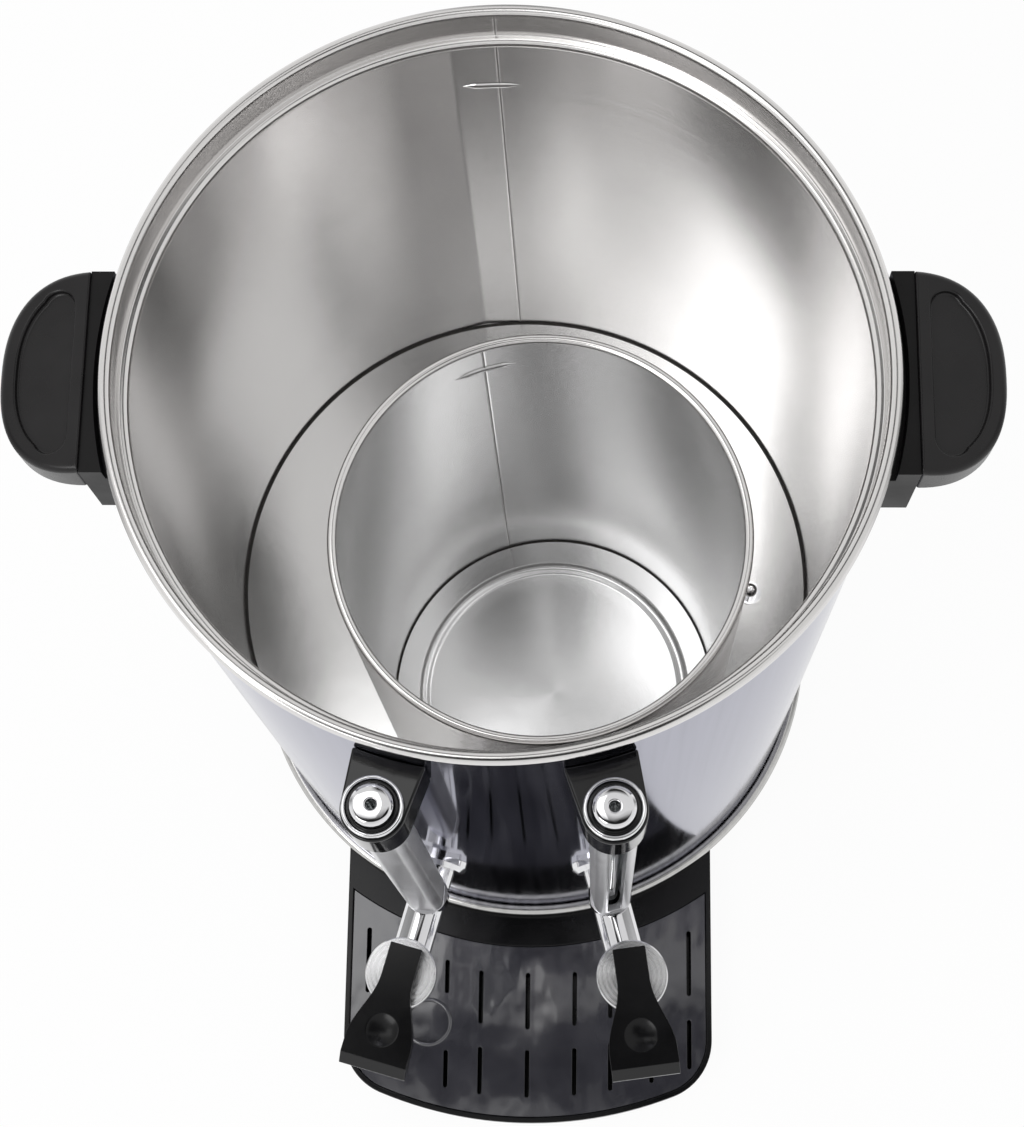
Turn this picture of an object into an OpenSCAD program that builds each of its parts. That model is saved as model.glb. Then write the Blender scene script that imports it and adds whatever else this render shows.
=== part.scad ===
// Two-chamber electric samovar: a steel urn with a small tea pot inside, two lever taps with level
// gauges, side handles and a drip tray. +Z up, -Y front (taps and tray), +X right-hand handle,
// origin on the tank axis in the standing face. Millimetres.

/* [Urn] */
// Height of the rim above the standing face
rim_h = 502; // [490:1:620]
// Inside radius of the water tank
tank_r = 150; // [140:1:185]
// Depth of the water tank below the rim
tank_depth = 334; // [280:1:400]
// Thickness of the steel sheet
sheet = 0.8; // [0.6:0.1:1.2]
// Air gap between the tank and the outer shell
shell_gap = 3.4; // [2.6:0.1:6]
// Radius of the rolled rim bead
roll_r = 2.6; // [2.2:0.1:3.2]
// How far the rim bead stands outside the shell
roll_proud = 1.7; // [1:0.1:2]
// Depth of the lid seat below the rim
lid_seat = 20; // [14:1:26]
// Radius of the bead that carries the lid
seat_r = 2.6; // [2:0.1:3]
// Thickness of the tank floor
floor_t = 2; // [1.5:0.1:3]
// Length of the tank wall below its floor
floor_skirt = 8; // [6:1:14]

/* [Base] */
// Radius of the polished bead at the foot of the shell
ring_bead = 3; // [2:0.1:4]
// Height of the underside of the bead
ring_z = 25; // [20:1:32]
// Outside radius of the black base below the shell, less than the shell by this
base_inset = 5; // [4:0.5:8]
// Wall of the base
base_wall = 3; // [2.5:0.1:4]
// Height of the rubber feet
foot_h = 5; // [4:0.5:9]
// Diameter of the rubber feet
foot_d = 26; // [18:1:32]
// Radius on which the feet stand
foot_ring = 116; // [80:1:120]
// Diameter of the base screws
base_screw_d = 3.6; // [3:0.1:4.5]

/* [Tea pot] */
// Inside radius of the tea pot
pot_r = 83.2; // [69:0.1:87]
// Depth of the pot rim below the urn rim
pot_drop = 28; // [26:1:80]
// Radius of the rolled pot rim
pot_roll = 1.9; // [1.6:0.1:2.2]
// Gap between the pot rim and the tank wall at the tap
pot_gap = 3.9; // [0.5:0.1:8]
// Height of the pot floor above the tank floor
pot_lift = 4.5; // [4:0.1:8]
// Height of the ring pressed into the pot floor
pot_ring_h = 1.4; // [0.8:0.1:2]

/* [Taps] */
// Angle of each tap from the front
tap_ang = 15.2; // [14:0.1:22]
// Height of the tap barrel above the tank floor
tap_up = 22; // [20:1:40]
// Diameter of the tap barrel
barrel_d = 19; // [16:0.5:21]
// Diameter of the threaded tail
tail_d = 16; // [13:0.5:18]
// Bore of the water way
way_d = 9; // [7:0.5:10]
// Distance from the shell to the centre of the tap head
head_reach = 62; // [56:1:80]
// Diameter of the tap head
head_d = 24; // [22:0.5:27]
// Height of the head above the barrel axis
head_up = 15; // [13:0.5:20]
// Drop of the spout below the barrel axis
spout_drop = 45; // [36:1:60]
// Diameter of the turned disc on the head
disc_d = 35; // [32:0.5:36]
// Thickness of the turned disc
disc_t = 6; // [5:0.5:8]
// Diameter of the flange at the shell
flange_d = 30; // [26:1:34]
// Thickness of the flange at the shell
flange_t = 5; // [3:0.5:7]
// Width of the lock nuts across the flats
nut_af = 24; // [22:0.5:27]
// Thickness of the lock nuts
nut_t = 6; // [4:0.5:8]
// Thickness of the rubber washers under the nuts
washer_t = 2.5; // [2:0.1:4]
// Diameter of the valve stem
stem_d = 6; // [5:0.1:7]
// Radial running fit of the stem and of the pivot pins
run_fit = 0.08; // [0.03:0.01:0.1]
// Turn of the two lever heads from radial, left then right
lever_turn = [0, -7]; // [-10:1:10]

/* [Levers] */
// Distance of the lever pivot in front of the head axis
pivot_off = 12; // [11:0.5:13]
// Diameter of the pivot pin
pivot_d = 3; // [2.5:0.1:3.5]
// Diameter of the cross pin in the stem
cross_d = 2.5; // [2:0.1:3]
// Length of the lever behind the head axis
lever_back = 13; // [11:0.5:17]
// Length of the lever in front of the head axis
lever_front = 44; // [42:1:60]
// Width of the narrow end
lever_w1 = 16; // [15.5:0.5:20]
// Width of the wide end
lever_w2 = 33; // [26:0.5:40]
// Height of the lever
lever_h = 9; // [8:0.5:11]
// Wall of the lever
lever_wall = 2.5; // [2:0.1:3]
// Depth of the turned-down end
lip_h = 13; // [9:0.5:16]
// Thickness of the turned-down end
lip_t = 5; // [4:0.5:8]
// How far the turned-down end slopes forward
lip_out = 5; // [2:0.5:7]
// Radius of the thumb dimple
dimple_r = 8.5; // [5:0.5:9]
// Depth of the thumb dimple
dimple_h = 1.6; // [0.8:0.1:1.8]
// Gap under and around the moving lever
lever_gap = 0.4; // [0.3:0.1:0.8]

/* [Level gauges] */
// Distance from the shell to the gauge axis
gauge_off = 20; // [18:0.5:24]
// Depth of the gauge cap below the rim
cap_drop = 18; // [10:1:60]
// Width of the square guard
guard_w = 18; // [17:0.5:20]
// Corner radius of the guard
guard_cr = 5; // [4:0.5:6]
// Bore of the guard
guard_bore = 12; // [11.5:0.1:13]
// Width of the viewing slot
guard_slot = 7; // [5:0.5:9]
// Turn of the viewing slots from the front, left then right
guard_turn = [-78, 0]; // [-90:1:90]
// Outside diameter of the glass
glass_d = 8; // [7:0.5:8.5]
// Wall of the glass
glass_t = 1; // [0.8:0.1:1.5]
// Diameter of the collar on the barrel
collar_d = 21.5; // [21:0.5:24]
// Height of the collar top above the barrel axis
collar_up = 13; // [12.5:0.5:16]
// Diameter of the bracket around the gauge
brk_d = 26; // [25.5:0.5:30]
// Width of the bracket at the wall
brk_w = 30; // [26:1:36]
// Height of the bracket
brk_h = 30; // [20:1:40]
// Diameter of the cap
cap_d = 24; // [20:0.5:26]
// Height of the cap
cap_h = 10; // [8:0.5:12]
// Vent hole in the cap
vent_d = 4; // [2:0.5:5]

/* [Handles] */
// Depth of the grip top below the rim
grip_drop = 5; // [3:1:40]
// Half the length of the grip at its wall bracket
grip_half = 42; // [36:0.5:44]
// How far the grip reaches from the shell
grip_reach = 43.5; // [39:0.5:46]
// Fullness of the grip's outline, where 2 is an ellipse
grip_full = 2.4; // [2:0.1:3]
// How far the grip top falls towards its end
grip_fall = 8; // [0:0.5:9]
// Height of the grip
grip_h = 20; // [16:1:26]
// Wall of the grip
grip_wall = 4; // [3:0.5:5]
// Depth of the recess in the grip top
grip_recess = 2.5; // [1.5:0.5:3]
// Border around the recess
grip_border = 6; // [5:0.5:8]
// Corner radius of the recess
recess_cr = 7; // [5:0.5:8]
// Thickness of the wall bracket at its middle
hbrk_t = 8; // [6:0.5:10]
// Width of the wall bracket
hbrk_w = 84; // [70:1:90]
// Height of the wall bracket
hbrk_h = 44; // [38:1:50]
// Width of the lug under the wall bracket
lug_w = 26; // [20:1:40]
// Height of the lug under the wall bracket
lug_h = 16; // [10:1:20]
// Diameter of the handle screws
grip_screw_d = 4; // [3:0.5:5]

/* [Rear controls] */
// Width of the control panel
panel_w = 100; // [96:1:110]
// Height of the control panel
panel_h = 84; // [82:1:90]
// Height of the panel underside above the ring
panel_up = 20; // [12:1:40]
// Thickness of the panel at its middle
panel_t = 10; // [9:0.5:12]
// Diameter of the thermostat knob
knob_d = 36; // [30:1:38]
// Height of the thermostat knob
knob_h = 17; // [12:1:22]
// Diameter of the knob shaft
shaft_d = 8; // [6:0.5:9]
// Spacing of the lamp and the switch from the knob
ctl_dx = 33; // [32:1:36]

/* [Drip tray] */
// Width of the tray
tray_w = 211; // [190:1:230]
// Reach of the tray in front of the tank axis
tray_reach = 277; // [270:1:300]
// Height of the tray
tray_h = 20; // [18:1:26]
// Radius of the front edge
tray_front_r = 230; // [190:1:260]
// Radius of the front corners
tray_corner = 34; // [28:1:44]
// Gap between the tray and the black base
tray_gap = 2; // [1:0.5:8]
// Width of the band behind the grid
band_w = 26; // [20:1:30]
// Wall of the tray
tray_wall = 3; // [2.5:0.1:4]
// Floor of the tray
tray_floor = 2.5; // [2:0.1:4]
// Thickness of the grid
grid_t = 3; // [2.5:0.1:4]
// Depth of the grid below the tray edge
grid_drop = 0.8; // [0.5:0.1:1.5]
// Gap around the grid
grid_gap = 0.4; // [0.3:0.1:0.8]
// Width of the slots
slot_w = 2.6; // [2:0.1:3.2]
// Radius of the finger recess
finger_r = 12; // [9:0.5:13]
// Depth of the finger recess
finger_h = 1.4; // [0.8:0.1:1.6]

/* [Heating] */
// Radius of the heater plate
plate_r = 106; // [90:1:110]
// Thickness of the heater plate
plate_t = 6; // [4:0.5:10]
// Radius of the ring of the heating element
coil_r = 75; // [60:1:85]
// Radius of the element tube
coil_t = 4; // [3:0.5:5]
// Distance of the dry-boil probe from the tank axis
probe_r = 120; // [116:1:124]
// Angle of the dry-boil probe from the right-hand handle
probe_ang = -2; // [-20:1:20]
// Diameter of the dry-boil probe
probe_d = 7.5; // [6:0.5:9]
// Height of the dry-boil probe
probe_h = 10; // [7:0.5:14]

/* [Hidden] */
fn = 128;
eps = 0.01;
steel = [0.78, 0.78, 0.80];
chrome = [0.85, 0.85, 0.87];
black = [0.10, 0.10, 0.10];
gloss = [0.04, 0.04, 0.04];
rubber = [0.16, 0.16, 0.16];

tank_ro = tank_r + sheet;
shell_ri = tank_ro + shell_gap;
shell_ro = shell_ri + sheet;
floor_z = rim_h - tank_depth;
roll_c = shell_ro + roll_proud - roll_r;
recess_r = roll_c - roll_r;
seat_z = rim_h - lid_seat;
wall_top = seat_z - seat_r - 3;
shell_top = rim_h - 2 * roll_r - 0.05;
ring_flange = 1.5;
shell_z = ring_z + ring_flange;
ring_ro = shell_ro + 2 * ring_bead;
base_r = shell_ro - base_inset;
boss_d = 10;

pot_ro = pot_r + sheet;
pot_rim_r = pot_ro;
pot_off = tank_r - pot_gap - pot_rim_r;
pot_top = rim_h - pot_drop;
pot_wall_top = pot_top - 2 * pot_roll - 1;

tap_z = floor_z + tap_up;
flange_u = shell_ro + flange_t;
head_u = shell_ro + head_reach;
gauge_u = shell_ro + gauge_off;
hole_d = tail_d + 0.6;
nut_u_left = tank_r - 3 - washer_t;
nut_u_right = pot_off + pot_r - 1 - washer_t;
tail_end_left = nut_u_left - nut_t - 4;
tail_end_right = nut_u_right - nut_t - 3;
chamber_d = 14;
disc_z = head_up + disc_t;
lever_z = disc_z + lever_gap;
pivot_z = lever_z + 3.5;
roof_z = lever_z + lever_h - 2;
pivot_lug = 5.4;
lug_len = 7;
stem_top = roof_z - 1.4;
cross_len = lever_w1 - 1.5;
flare_y = 4;
flare_len = lever_front - 12;
pin_len = 2 * lever_half((pivot_off - flare_y) / flare_len) - 1.5;
valve_z = -3;

cap_top = rim_h - cap_drop;
brk_top = cap_top - cap_h;
brk_z = brk_top - brk_h;
guard_z = tap_z + collar_up;
guard_top = brk_z + 6;
guard_diag = 2 * ((guard_w / 2 - guard_cr) * sqrt(2) + guard_cr) + 0.2;
seal_d = glass_d + 2;
seal_seat = collar_up - 6;
glass_z = tap_z + seal_seat;
glass_top = brk_top + 4;

grip_top = rim_h - grip_drop;
grip_u = shell_ro + hbrk_t;
grip_len = grip_reach - hbrk_t;
fall_ang = atan(grip_fall / grip_len);
hbrk_top = grip_top - 2;
grip_screw_x = 26;
grip_screw_z = hbrk_top - hbrk_h + 7;

panel_z = ring_z + ring_bead * 2 + panel_up;
panel_u = shell_ro + panel_t;
knob_z = panel_z + panel_h - 26;
inlet_z = panel_z + 20;
inlet_w = 27;
inlet_h = 19.5;
rock_w = 14;
rock_h = 20;
rock_r = 11;
rock_gap = 0.5;
rock_u = panel_u - 6;

tray_in = base_r + tray_gap;
tray_y = tray_reach - tray_front_r;
corner_x = tray_w / 2 - tray_corner;
corner_y = tray_y + sqrt(pow(tray_front_r - tray_corner, 2) - corner_x * corner_x);
grid_in = tray_in + band_w;
grid_top = tray_h - grid_drop;
tongue_z = 0.6;
// x, start and end distance in front of the axis of each slot
slots = [[0, 193, 225], [0, 236.5, 263], [27, 192, 222.5], [-27, 192, 222], [27, 235, 261.5],
  [-27, 235, 261.5], [47.5, 188, 218], [-46.7, 186, 205], [47.5, 232, 258.5], [-46.7, 237, 258],
  [71, 182, 213], [-71, 182, 204], [71, 227, 254], [-70, 238, 251.5], [92.6, 168, 205],
  [-92.6, 168, 205], [92.6, 218.5, 246], [-92.6, 218.5, 246]];
finger = [-57.2, -221.5];

function lever_half(t) = (lever_w1 + (lever_w2 - lever_w1) * t * t * (3 - 2 * t)) / 2;

module at_tap(s) { rotate([0, 0, s * tap_ang]) translate([0, 0, tap_z]) children(); }
module at_head(s) {
  at_tap(s) translate([0, -head_u, 0]) rotate([0, 0, s < 0 ? lever_turn[0] : lever_turn[1]])
    children();
}
module at_gauge(s) { rotate([0, 0, s * tap_ang]) translate([0, -gauge_u, 0]) children(); }
module at_pot() { rotate([0, 0, tap_ang]) translate([0, -pot_off, 0]) children(); }
module at_probe() { rotate([0, 0, probe_ang]) translate([probe_r, 0, 0]) children(); }
module at_handle(s) { rotate([0, 0, s * 90]) children(); }
module out(u, h, d) { translate([0, -u, 0]) rotate([90, 0, 0]) cylinder(d = d, h = h, $fn = 64); }
module tube(r1, r2, z, h) {
  translate([0, 0, z]) difference() {
    cylinder(r = r2, h = h, $fn = fn);
    translate([0, 0, -1]) cylinder(r = r1, h = h + 2, $fn = fn);
  }
}
module tap_holes(d) { for (s = [-1, 1]) at_tap(s) out(tank_r - 20, 50, d); }

// Outer shell with its tap and control holes
module outer_shell() {
  color(steel) difference() {
    tube(shell_ri, shell_ro, shell_z, shell_top - shell_z);
    tap_holes(hole_d);
    translate([-inlet_w / 2 - 1, shell_ri - 9, inlet_z - inlet_h / 2 - 1])
      cube([inlet_w + 2, 15, inlet_h + 2]);
    translate([0, 0, knob_z]) mirror([0, 1, 0]) out(shell_ri - 8, 15, shaft_d + 4);
  }
}

// Plain wall of the water tank
module tank_wall() {
  color(steel) difference() {
    tube(tank_r, tank_ro, floor_z - floor_skirt, wall_top - floor_z + floor_skirt);
    tap_holes(hole_d);
  }
}

// Top of the tank with the lid seat and the rolled rim
module rim_ring() {
  color(steel) rotate_extrude($fn = fn) {
    translate([tank_r, wall_top]) square([sheet, 3 + sheet]);
    intersection() {
      translate([tank_r + 0.4, seat_z]) difference() {
        circle(seat_r, $fn = 48);
        circle(seat_r - sheet, $fn = 48);
      }
      translate([tank_r - 10, seat_z - 10]) square([10 + sheet, 20]);
    }
    translate([tank_r, seat_z + seat_r - sheet]) square([recess_r + sheet - tank_r, sheet]);
    translate([recess_r, seat_z + seat_r - sheet])
      square([sheet, rim_h - roll_r - seat_z - seat_r + sheet]);
    translate([roll_c, rim_h - roll_r]) difference() {
      circle(roll_r, $fn = 48);
      circle(roll_r - sheet, $fn = 48);
      translate([-roll_r - 1, -roll_r - 1]) square([roll_r + 0.7, roll_r + 1]);
    }
  }
}

// Floor of the water tank
module tank_floor() {
  color(steel) difference() {
    translate([0, 0, floor_z - floor_t]) cylinder(r = tank_r, h = floor_t, $fn = fn);
    at_probe() translate([0, 0, floor_z - floor_t - 1]) cylinder(d = 5, h = floor_t + 2, $fn = 48);
  }
}

// Polished bead at the foot of the shell
module bottom_ring() {
  color(steel) rotate_extrude($fn = fn) {
    translate([shell_ro + ring_bead, ring_z + ring_bead]) circle(ring_bead, $fn = 48);
    translate([base_r - 2, ring_z]) square([shell_ro + ring_bead - base_r + 2, ring_flange]);
  }
}

// Wall of the tea pot
module pot_wall() {
  color(steel) difference() {
    at_pot() rotate_extrude($fn = fn) translate([pot_r, floor_z]) square([sheet, pot_wall_top - floor_z]);
    at_tap(1) out(pot_off + pot_r - 12, 30, hole_d);
  }
}

// Rim of the tea pot, rolled inward
module pot_rim() {
  color(steel) at_pot() rotate_extrude($fn = fn) {
    translate([pot_r, pot_wall_top]) square([sheet, pot_top - pot_roll - pot_wall_top]);
    translate([pot_ro - pot_roll, pot_top - pot_roll]) difference() {
      circle(pot_roll, $fn = 48);
      circle(pot_roll - sheet, $fn = 48);
      translate([0.2, -pot_roll - 1]) square([pot_roll + 1, pot_roll + 1]);
    }
  }
}

// Floor of the tea pot with its pressed ring
module pot_floor() {
  r1 = pot_r * 0.77;
  r2 = pot_r * 0.86;
  color(steel) at_pot() translate([0, 0, floor_z + pot_lift]) rotate_extrude($fn = fn)
    polygon([[0, -1.6], [pot_r, -1.6], [pot_r, 0], [r2, 0], [r2 - 1.6, pot_ring_h],
      [r1 + 1.6, pot_ring_h], [r1, 0], [0, 0]]);
}

// Dry-boil probe on the tank floor
module floor_probe() {
  color(chrome) at_probe() {
    translate([0, 0, floor_z]) cylinder(d = probe_d + 5, h = 1.2, $fn = 48);
    translate([0, 0, floor_z + 1.2])
      cylinder(d = probe_d, h = probe_h - 1.2 - probe_d / 2, $fn = 48);
    translate([0, 0, floor_z + probe_h - probe_d / 2]) sphere(d = probe_d, $fn = 48);
    translate([0, 0, floor_z - floor_t - 8]) cylinder(d = 5, h = floor_t + 8.5, $fn = 48);
  }
}

// Nut under the probe
module probe_nut() {
  color(chrome) at_probe() translate([0, 0, floor_z - floor_t - 4]) difference() {
    cylinder(d = 10, h = 4, $fn = 6);
    translate([0, 0, -1]) cylinder(d = 5, h = 6, $fn = 48);
  }
}

// Aluminium plate that spreads the heat
module heater_plate() {
  color([0.7, 0.7, 0.7]) translate([0, 0, floor_z - floor_t - plate_t])
    cylinder(r = plate_r, h = plate_t, $fn = fn);
}

// Ring-shaped heating element with two terminals
module heating_element() {
  z = floor_z - floor_t - plate_t - coil_t;
  color([0.35, 0.33, 0.32]) {
    translate([0, 0, z]) rotate_extrude($fn = fn) translate([coil_r, 0]) circle(coil_t, $fn = 48);
    for (x = [-12, 12]) translate([x, -sqrt(coil_r * coil_r - 144), z - 26])
      cylinder(d = 6, h = 26, $fn = 48);
  }
}

// Thermostat against the heater plate
module thermostat_body() {
  color([0.85, 0.82, 0.75]) translate([0, 0, floor_z - floor_t - plate_t - 15])
    cylinder(d = 30, h = 15, $fn = 64);
}

// Thermal cut-out against the heater plate
module thermal_cutout() {
  color([0.2, 0.2, 0.2]) translate([42, 18, floor_z - floor_t - plate_t - 8])
    cylinder(d = 16, h = 8, $fn = 64);
}

// Black wall of the base with its screw bosses
module base_housing() {
  color(black) difference() {
    union() {
      tube(base_r - base_wall, base_r, foot_h, ring_z - foot_h);
      for (a = [0:90:270]) rotate([0, 0, a]) translate([base_r - base_wall - 4, 0, foot_h + base_wall])
        cylinder(d = boss_d, h = ring_z - foot_h - base_wall, $fn = 48);
    }
    for (a = [0:90:270]) rotate([0, 0, a]) translate([base_r - base_wall - 4, 0, foot_h])
      cylinder(d = base_screw_d, h = 14, $fn = 48);
    tube(base_r, base_r + 8, foot_h - 1, 40);
  }
}

// Plate that closes the base
module base_plate() {
  color(black) difference() {
    translate([0, 0, foot_h]) cylinder(r = base_r - base_wall, h = base_wall, $fn = fn);
    for (a = [0:90:270]) rotate([0, 0, a]) translate([base_r - base_wall - 4 , 0, foot_h - 1])
      cylinder(d = base_screw_d + 0.4, h = base_wall + 2, $fn = 48);
  }
}

// Rubber feet
module base_feet() {
  color(rubber) for (a = [45:90:315]) rotate([0, 0, a]) translate([foot_ring, 0, 0]) {
    cylinder(d1 = foot_d - 3, d2 = foot_d, h = 1.5, $fn = 48);
    translate([0, 0, 1.5]) cylinder(d = foot_d, h = foot_h - 1.5, $fn = 48);
  }
}

// Screws of the base plate
module base_screws() {
  color(chrome) for (a = [0:90:270]) rotate([0, 0, a]) translate([base_r - base_wall - 4, 0, 0]) {
    difference() {
      translate([0, 0, foot_h - 2]) cylinder(d = 7, h = 2, $fn = 48);
      translate([0, 0, foot_h - 3]) cylinder(d = 2.6, h = 2, $fn = 6);
    }
    translate([0, 0, foot_h - 0.1]) cylinder(d = base_screw_d, h = 12, $fn = 48);
  }
}

// Panel on the rear with the thermostat, the switch, the lamp and the mains inlet
module control_panel() {
  color(black) difference() {
    translate([-panel_w / 2, shell_ro - 12, panel_z]) cube([panel_w, panel_t + 12, panel_h]);
    translate([0, 0, panel_z - 1]) cylinder(r = shell_ro, h = panel_h + 2, $fn = fn);
    translate([-inlet_w / 2, shell_ro - 15, inlet_z - inlet_h / 2]) cube([inlet_w, panel_t + 20, inlet_h]);
    translate([0, 0, knob_z]) mirror([0, 1, 0]) out(shell_ro - 5, panel_t + 10, shaft_d + 2 * run_fit);
    translate([ctl_dx - rock_w / 2 - rock_gap, panel_u - rock_r - 6 - rock_gap - 1,
        knob_z - rock_h / 2 - rock_gap - 2])
      cube([rock_w + 2 * rock_gap, rock_r + 20, rock_h + 2 * rock_gap + 4]);
    translate([ctl_dx - rock_w / 2 - 3.5, rock_u, knob_z]) rotate([0, 90, 0])
      cylinder(d = 3 + 2 * run_fit, h = rock_w + 7, $fn = 48);
    translate([-ctl_dx, 0, knob_z]) mirror([0, 1, 0]) out(panel_u - 5, 10, 8);
    for (x = [-1, 1], z = [0, 1]) translate([x * (panel_w / 2 - 6), 0, panel_z + 6 + z * (panel_h - 12)])
      mirror([0, 1, 0]) out(panel_u - 1.2, 5, 6);
  }
}

// Thermostat knob and its shaft
module thermostat_knob() {
  color(black) translate([0, 0, knob_z]) {
    mirror([0, 1, 0]) out(shell_ri - 4, panel_u + 2 - shell_ri + 4, shaft_d);
    difference() {
      union() {
        mirror([0, 1, 0]) out(panel_u + 0.5, 4, knob_d);
        mirror([0, 1, 0]) out(panel_u + 4.5, knob_h - 4.5, knob_d - 6);
      }
      for (x = [-1, 1]) translate([x * 12 - 7, panel_u + 6, -30]) cube([14, 40, 60]);
      translate([-1, panel_u + knob_h - 1, 4]) cube([2, 3, 20]);
    }
    intersection() {
      mirror([0, 1, 0]) out(panel_u + 4, knob_h - 4.5, knob_d - 6);
      translate([-4.5, panel_u + 4, -30]) cube([9, knob_h - 4.5, 60]);
    }
  }
}

// Rocker of the mains switch
module switch_rocker() {
  color(gloss) translate([ctl_dx, rock_u, knob_z]) {
    intersection() {
      translate([-rock_w / 2, 0, 0]) rotate([0, 90, 0]) cylinder(r = rock_r, h = rock_w, $fn = 64);
      translate([-rock_w / 2, -4, -rock_h / 2]) cube([rock_w, 12, rock_h]);
    }
    translate([-rock_w / 2 - 3, 0, 0]) rotate([0, 90, 0]) cylinder(d = 3, h = rock_w + 6, $fn = 48);
  }
}

// Heating lamp
module pilot_lamp() {
  color([0.9, 0.35, 0.1]) translate([-ctl_dx, 0, knob_z]) mirror([0, 1, 0]) {
    out(panel_u - 5, 5, 8);
    out(panel_u, 1.2, 10);
    intersection() {
      translate([0, -panel_u, 0]) sphere(d = 8, $fn = 48);
      out(panel_u, 5, 12);
    }
  }
}

// Mains inlet without a cord
module mains_inlet() {
  color(gloss) translate([0, 0, inlet_z]) difference() {
    union() {
      translate([-inlet_w / 2, shell_ri - 10, -inlet_h / 2])
        cube([inlet_w, panel_u - shell_ri + 10, inlet_h]);
      translate([-inlet_w / 2 - 2, panel_u, -inlet_h / 2 - 2]) cube([inlet_w + 4, 2, inlet_h + 4]);
    }
    translate([-inlet_w / 2 + 1.5, panel_u - 14, -inlet_h / 2 + 1.5])
      cube([inlet_w - 3, 30, inlet_h - 3]);
    for (p = [[-7, -2], [7, -2], [0, 2]]) translate([p[0] - 1, panel_u - 30, p[1] - 2]) cube([2, 60, 4]);
  }
}

// Three flat pins of the inlet
module inlet_pins() {
  color(chrome) translate([0, 0, inlet_z]) for (p = [[-7, -2], [7, -2], [0, 2]])
    translate([p[0] - 1, shell_ri - 14, p[1] - 2]) cube([2, panel_u - shell_ri + 11, 4]);
}

// Wall bracket of a handle, set back from the shell at its top
module handle_bracket(s) {
  color(black) at_handle(s) difference() {
    union() {
      translate([-hbrk_w / 2, -grip_u, hbrk_top - hbrk_h]) cube([hbrk_w, hbrk_t + 8, hbrk_h]);
      translate([0, -grip_u + lug_w / 2 + 1, hbrk_top - hbrk_h - lug_h])
        cylinder(d = lug_w, h = lug_h + 1, $fn = 64);
    }
    translate([0, 0, hbrk_top - hbrk_h - lug_h - 1])
      cylinder(r = shell_ro, h = hbrk_h + lug_h + 4, $fn = fn);
    translate([0, 0, hbrk_top - 8]) cylinder(r = shell_ro + hbrk_t * 0.55, h = 12, $fn = fn);
    for (x = [-1, 1]) translate([x * grip_screw_x, 0, grip_screw_z])
      out(grip_u - 6, 10, grip_screw_d);
  }
}
module handle_bracket_left() { handle_bracket(-1); }
module handle_bracket_right() { handle_bracket(1); }

module beyond(u) { translate([-100, -u - 100]) square([200, 100]); }

module d_shape(inset, back) {
  a = grip_half - inset;
  b = grip_len - inset;
  intersection() {
    translate([0, -grip_u]) polygon([for (i = [0:48]) let (t = 180 * i / 48)
      [a * sign(cos(t)) * pow(abs(cos(t)), 2 / grip_full), -b * pow(abs(sin(t)), 2 / grip_full)]]);
    beyond(grip_u + back);
  }
}

// Grip outline with rounded inner corners
module d_round(inset, back, c) {
  v = grip_u + back + c;
  s = (back + c) / (grip_len - inset);
  w = (grip_half - inset) * pow(1 - pow(s, grip_full), 1 / grip_full) - c;
  d_shape(inset, back + c);
  translate([-w, -v]) square([2 * w, c]);
  for (x = [-w, w]) translate([x, -v]) circle(c, $fn = 64);
}

module grip_plane() { translate([0, -grip_u, grip_top]) rotate([fall_ang, 0, 0]) children(); }

// Grip of a handle, open below for the fingers
module handle_grip(s) {
  color(black) at_handle(s) difference() {
    translate([0, 0, grip_top - grip_h]) linear_extrude(grip_h) d_shape(0, 0);
    grip_plane() translate([-100, -110, 0]) cube([200, 120, 40]);
    grip_plane() translate([0, grip_u, -grip_recess]) linear_extrude(grip_recess + 1)
      d_round(grip_border, grip_border, recess_cr);
    difference() {
      translate([0, 0, grip_top - grip_h - 1]) linear_extrude(grip_h) d_shape(grip_wall, grip_wall);
      grip_plane() translate([-100, -110, -grip_recess - grip_wall]) cube([200, 120, 60]);
    }
  }
}
module handle_grip_left() { handle_grip(-1); }
module handle_grip_right() { handle_grip(1); }

// Screws of the wall brackets
module handle_screws() {
  color(chrome) for (s = [-1, 1], x = [-1, 1]) at_handle(s) translate([x * grip_screw_x, 0, grip_screw_z])
    difference() {
      union() {
        out(grip_u, 2.4, 8);
        out(grip_u - 6, 6.1, grip_screw_d);
      }
      out(grip_u + 1.2, 4, 2.8);
    }
}

// Tap casting: tail, barrel, head, spout and gauge collar
module tap_body(s) {
  tail_end = s < 0 ? tail_end_left : tail_end_right;
  color(chrome) at_tap(s) difference() {
    union() {
      out(tail_end, flange_u - tail_end, tail_d);
      out(flange_u, head_u - flange_u, barrel_d);
      translate([0, -head_u, -17]) cylinder(d = head_d, h = 17 + head_up, $fn = 64);
      translate([0, -head_u, -spout_drop])
        cylinder(d1 = way_d + 3, d2 = way_d + 6, h = spout_drop - 16, $fn = 64);
      translate([0, -gauge_u, 0]) cylinder(d = collar_d, h = collar_up, $fn = 64);
      translate([0, -gauge_u, 0]) intersection() {
        sphere(d = collar_d, $fn = 64);
        translate([-20, -20, -20]) cube([40, 40, 20]);
      }
    }
    out(tail_end - 1, head_u - tail_end + 1, way_d);
    translate([0, -head_u, -spout_drop - 1]) cylinder(d = way_d, h = spout_drop + 1, $fn = 64);
    translate([0, -head_u, valve_z - 3]) cylinder(d = chamber_d, h = head_up - valve_z + 4, $fn = 64);
    translate([0, -gauge_u, 0]) cylinder(d = glass_d - 2 * glass_t, h = collar_up + 1, $fn = 48);
    translate([0, -gauge_u, seal_seat]) cylinder(d = seal_d, h = 10, $fn = 48);
  }
}
module tap_body_left() { tap_body(-1); }
module tap_body_right() { tap_body(1); }

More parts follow.
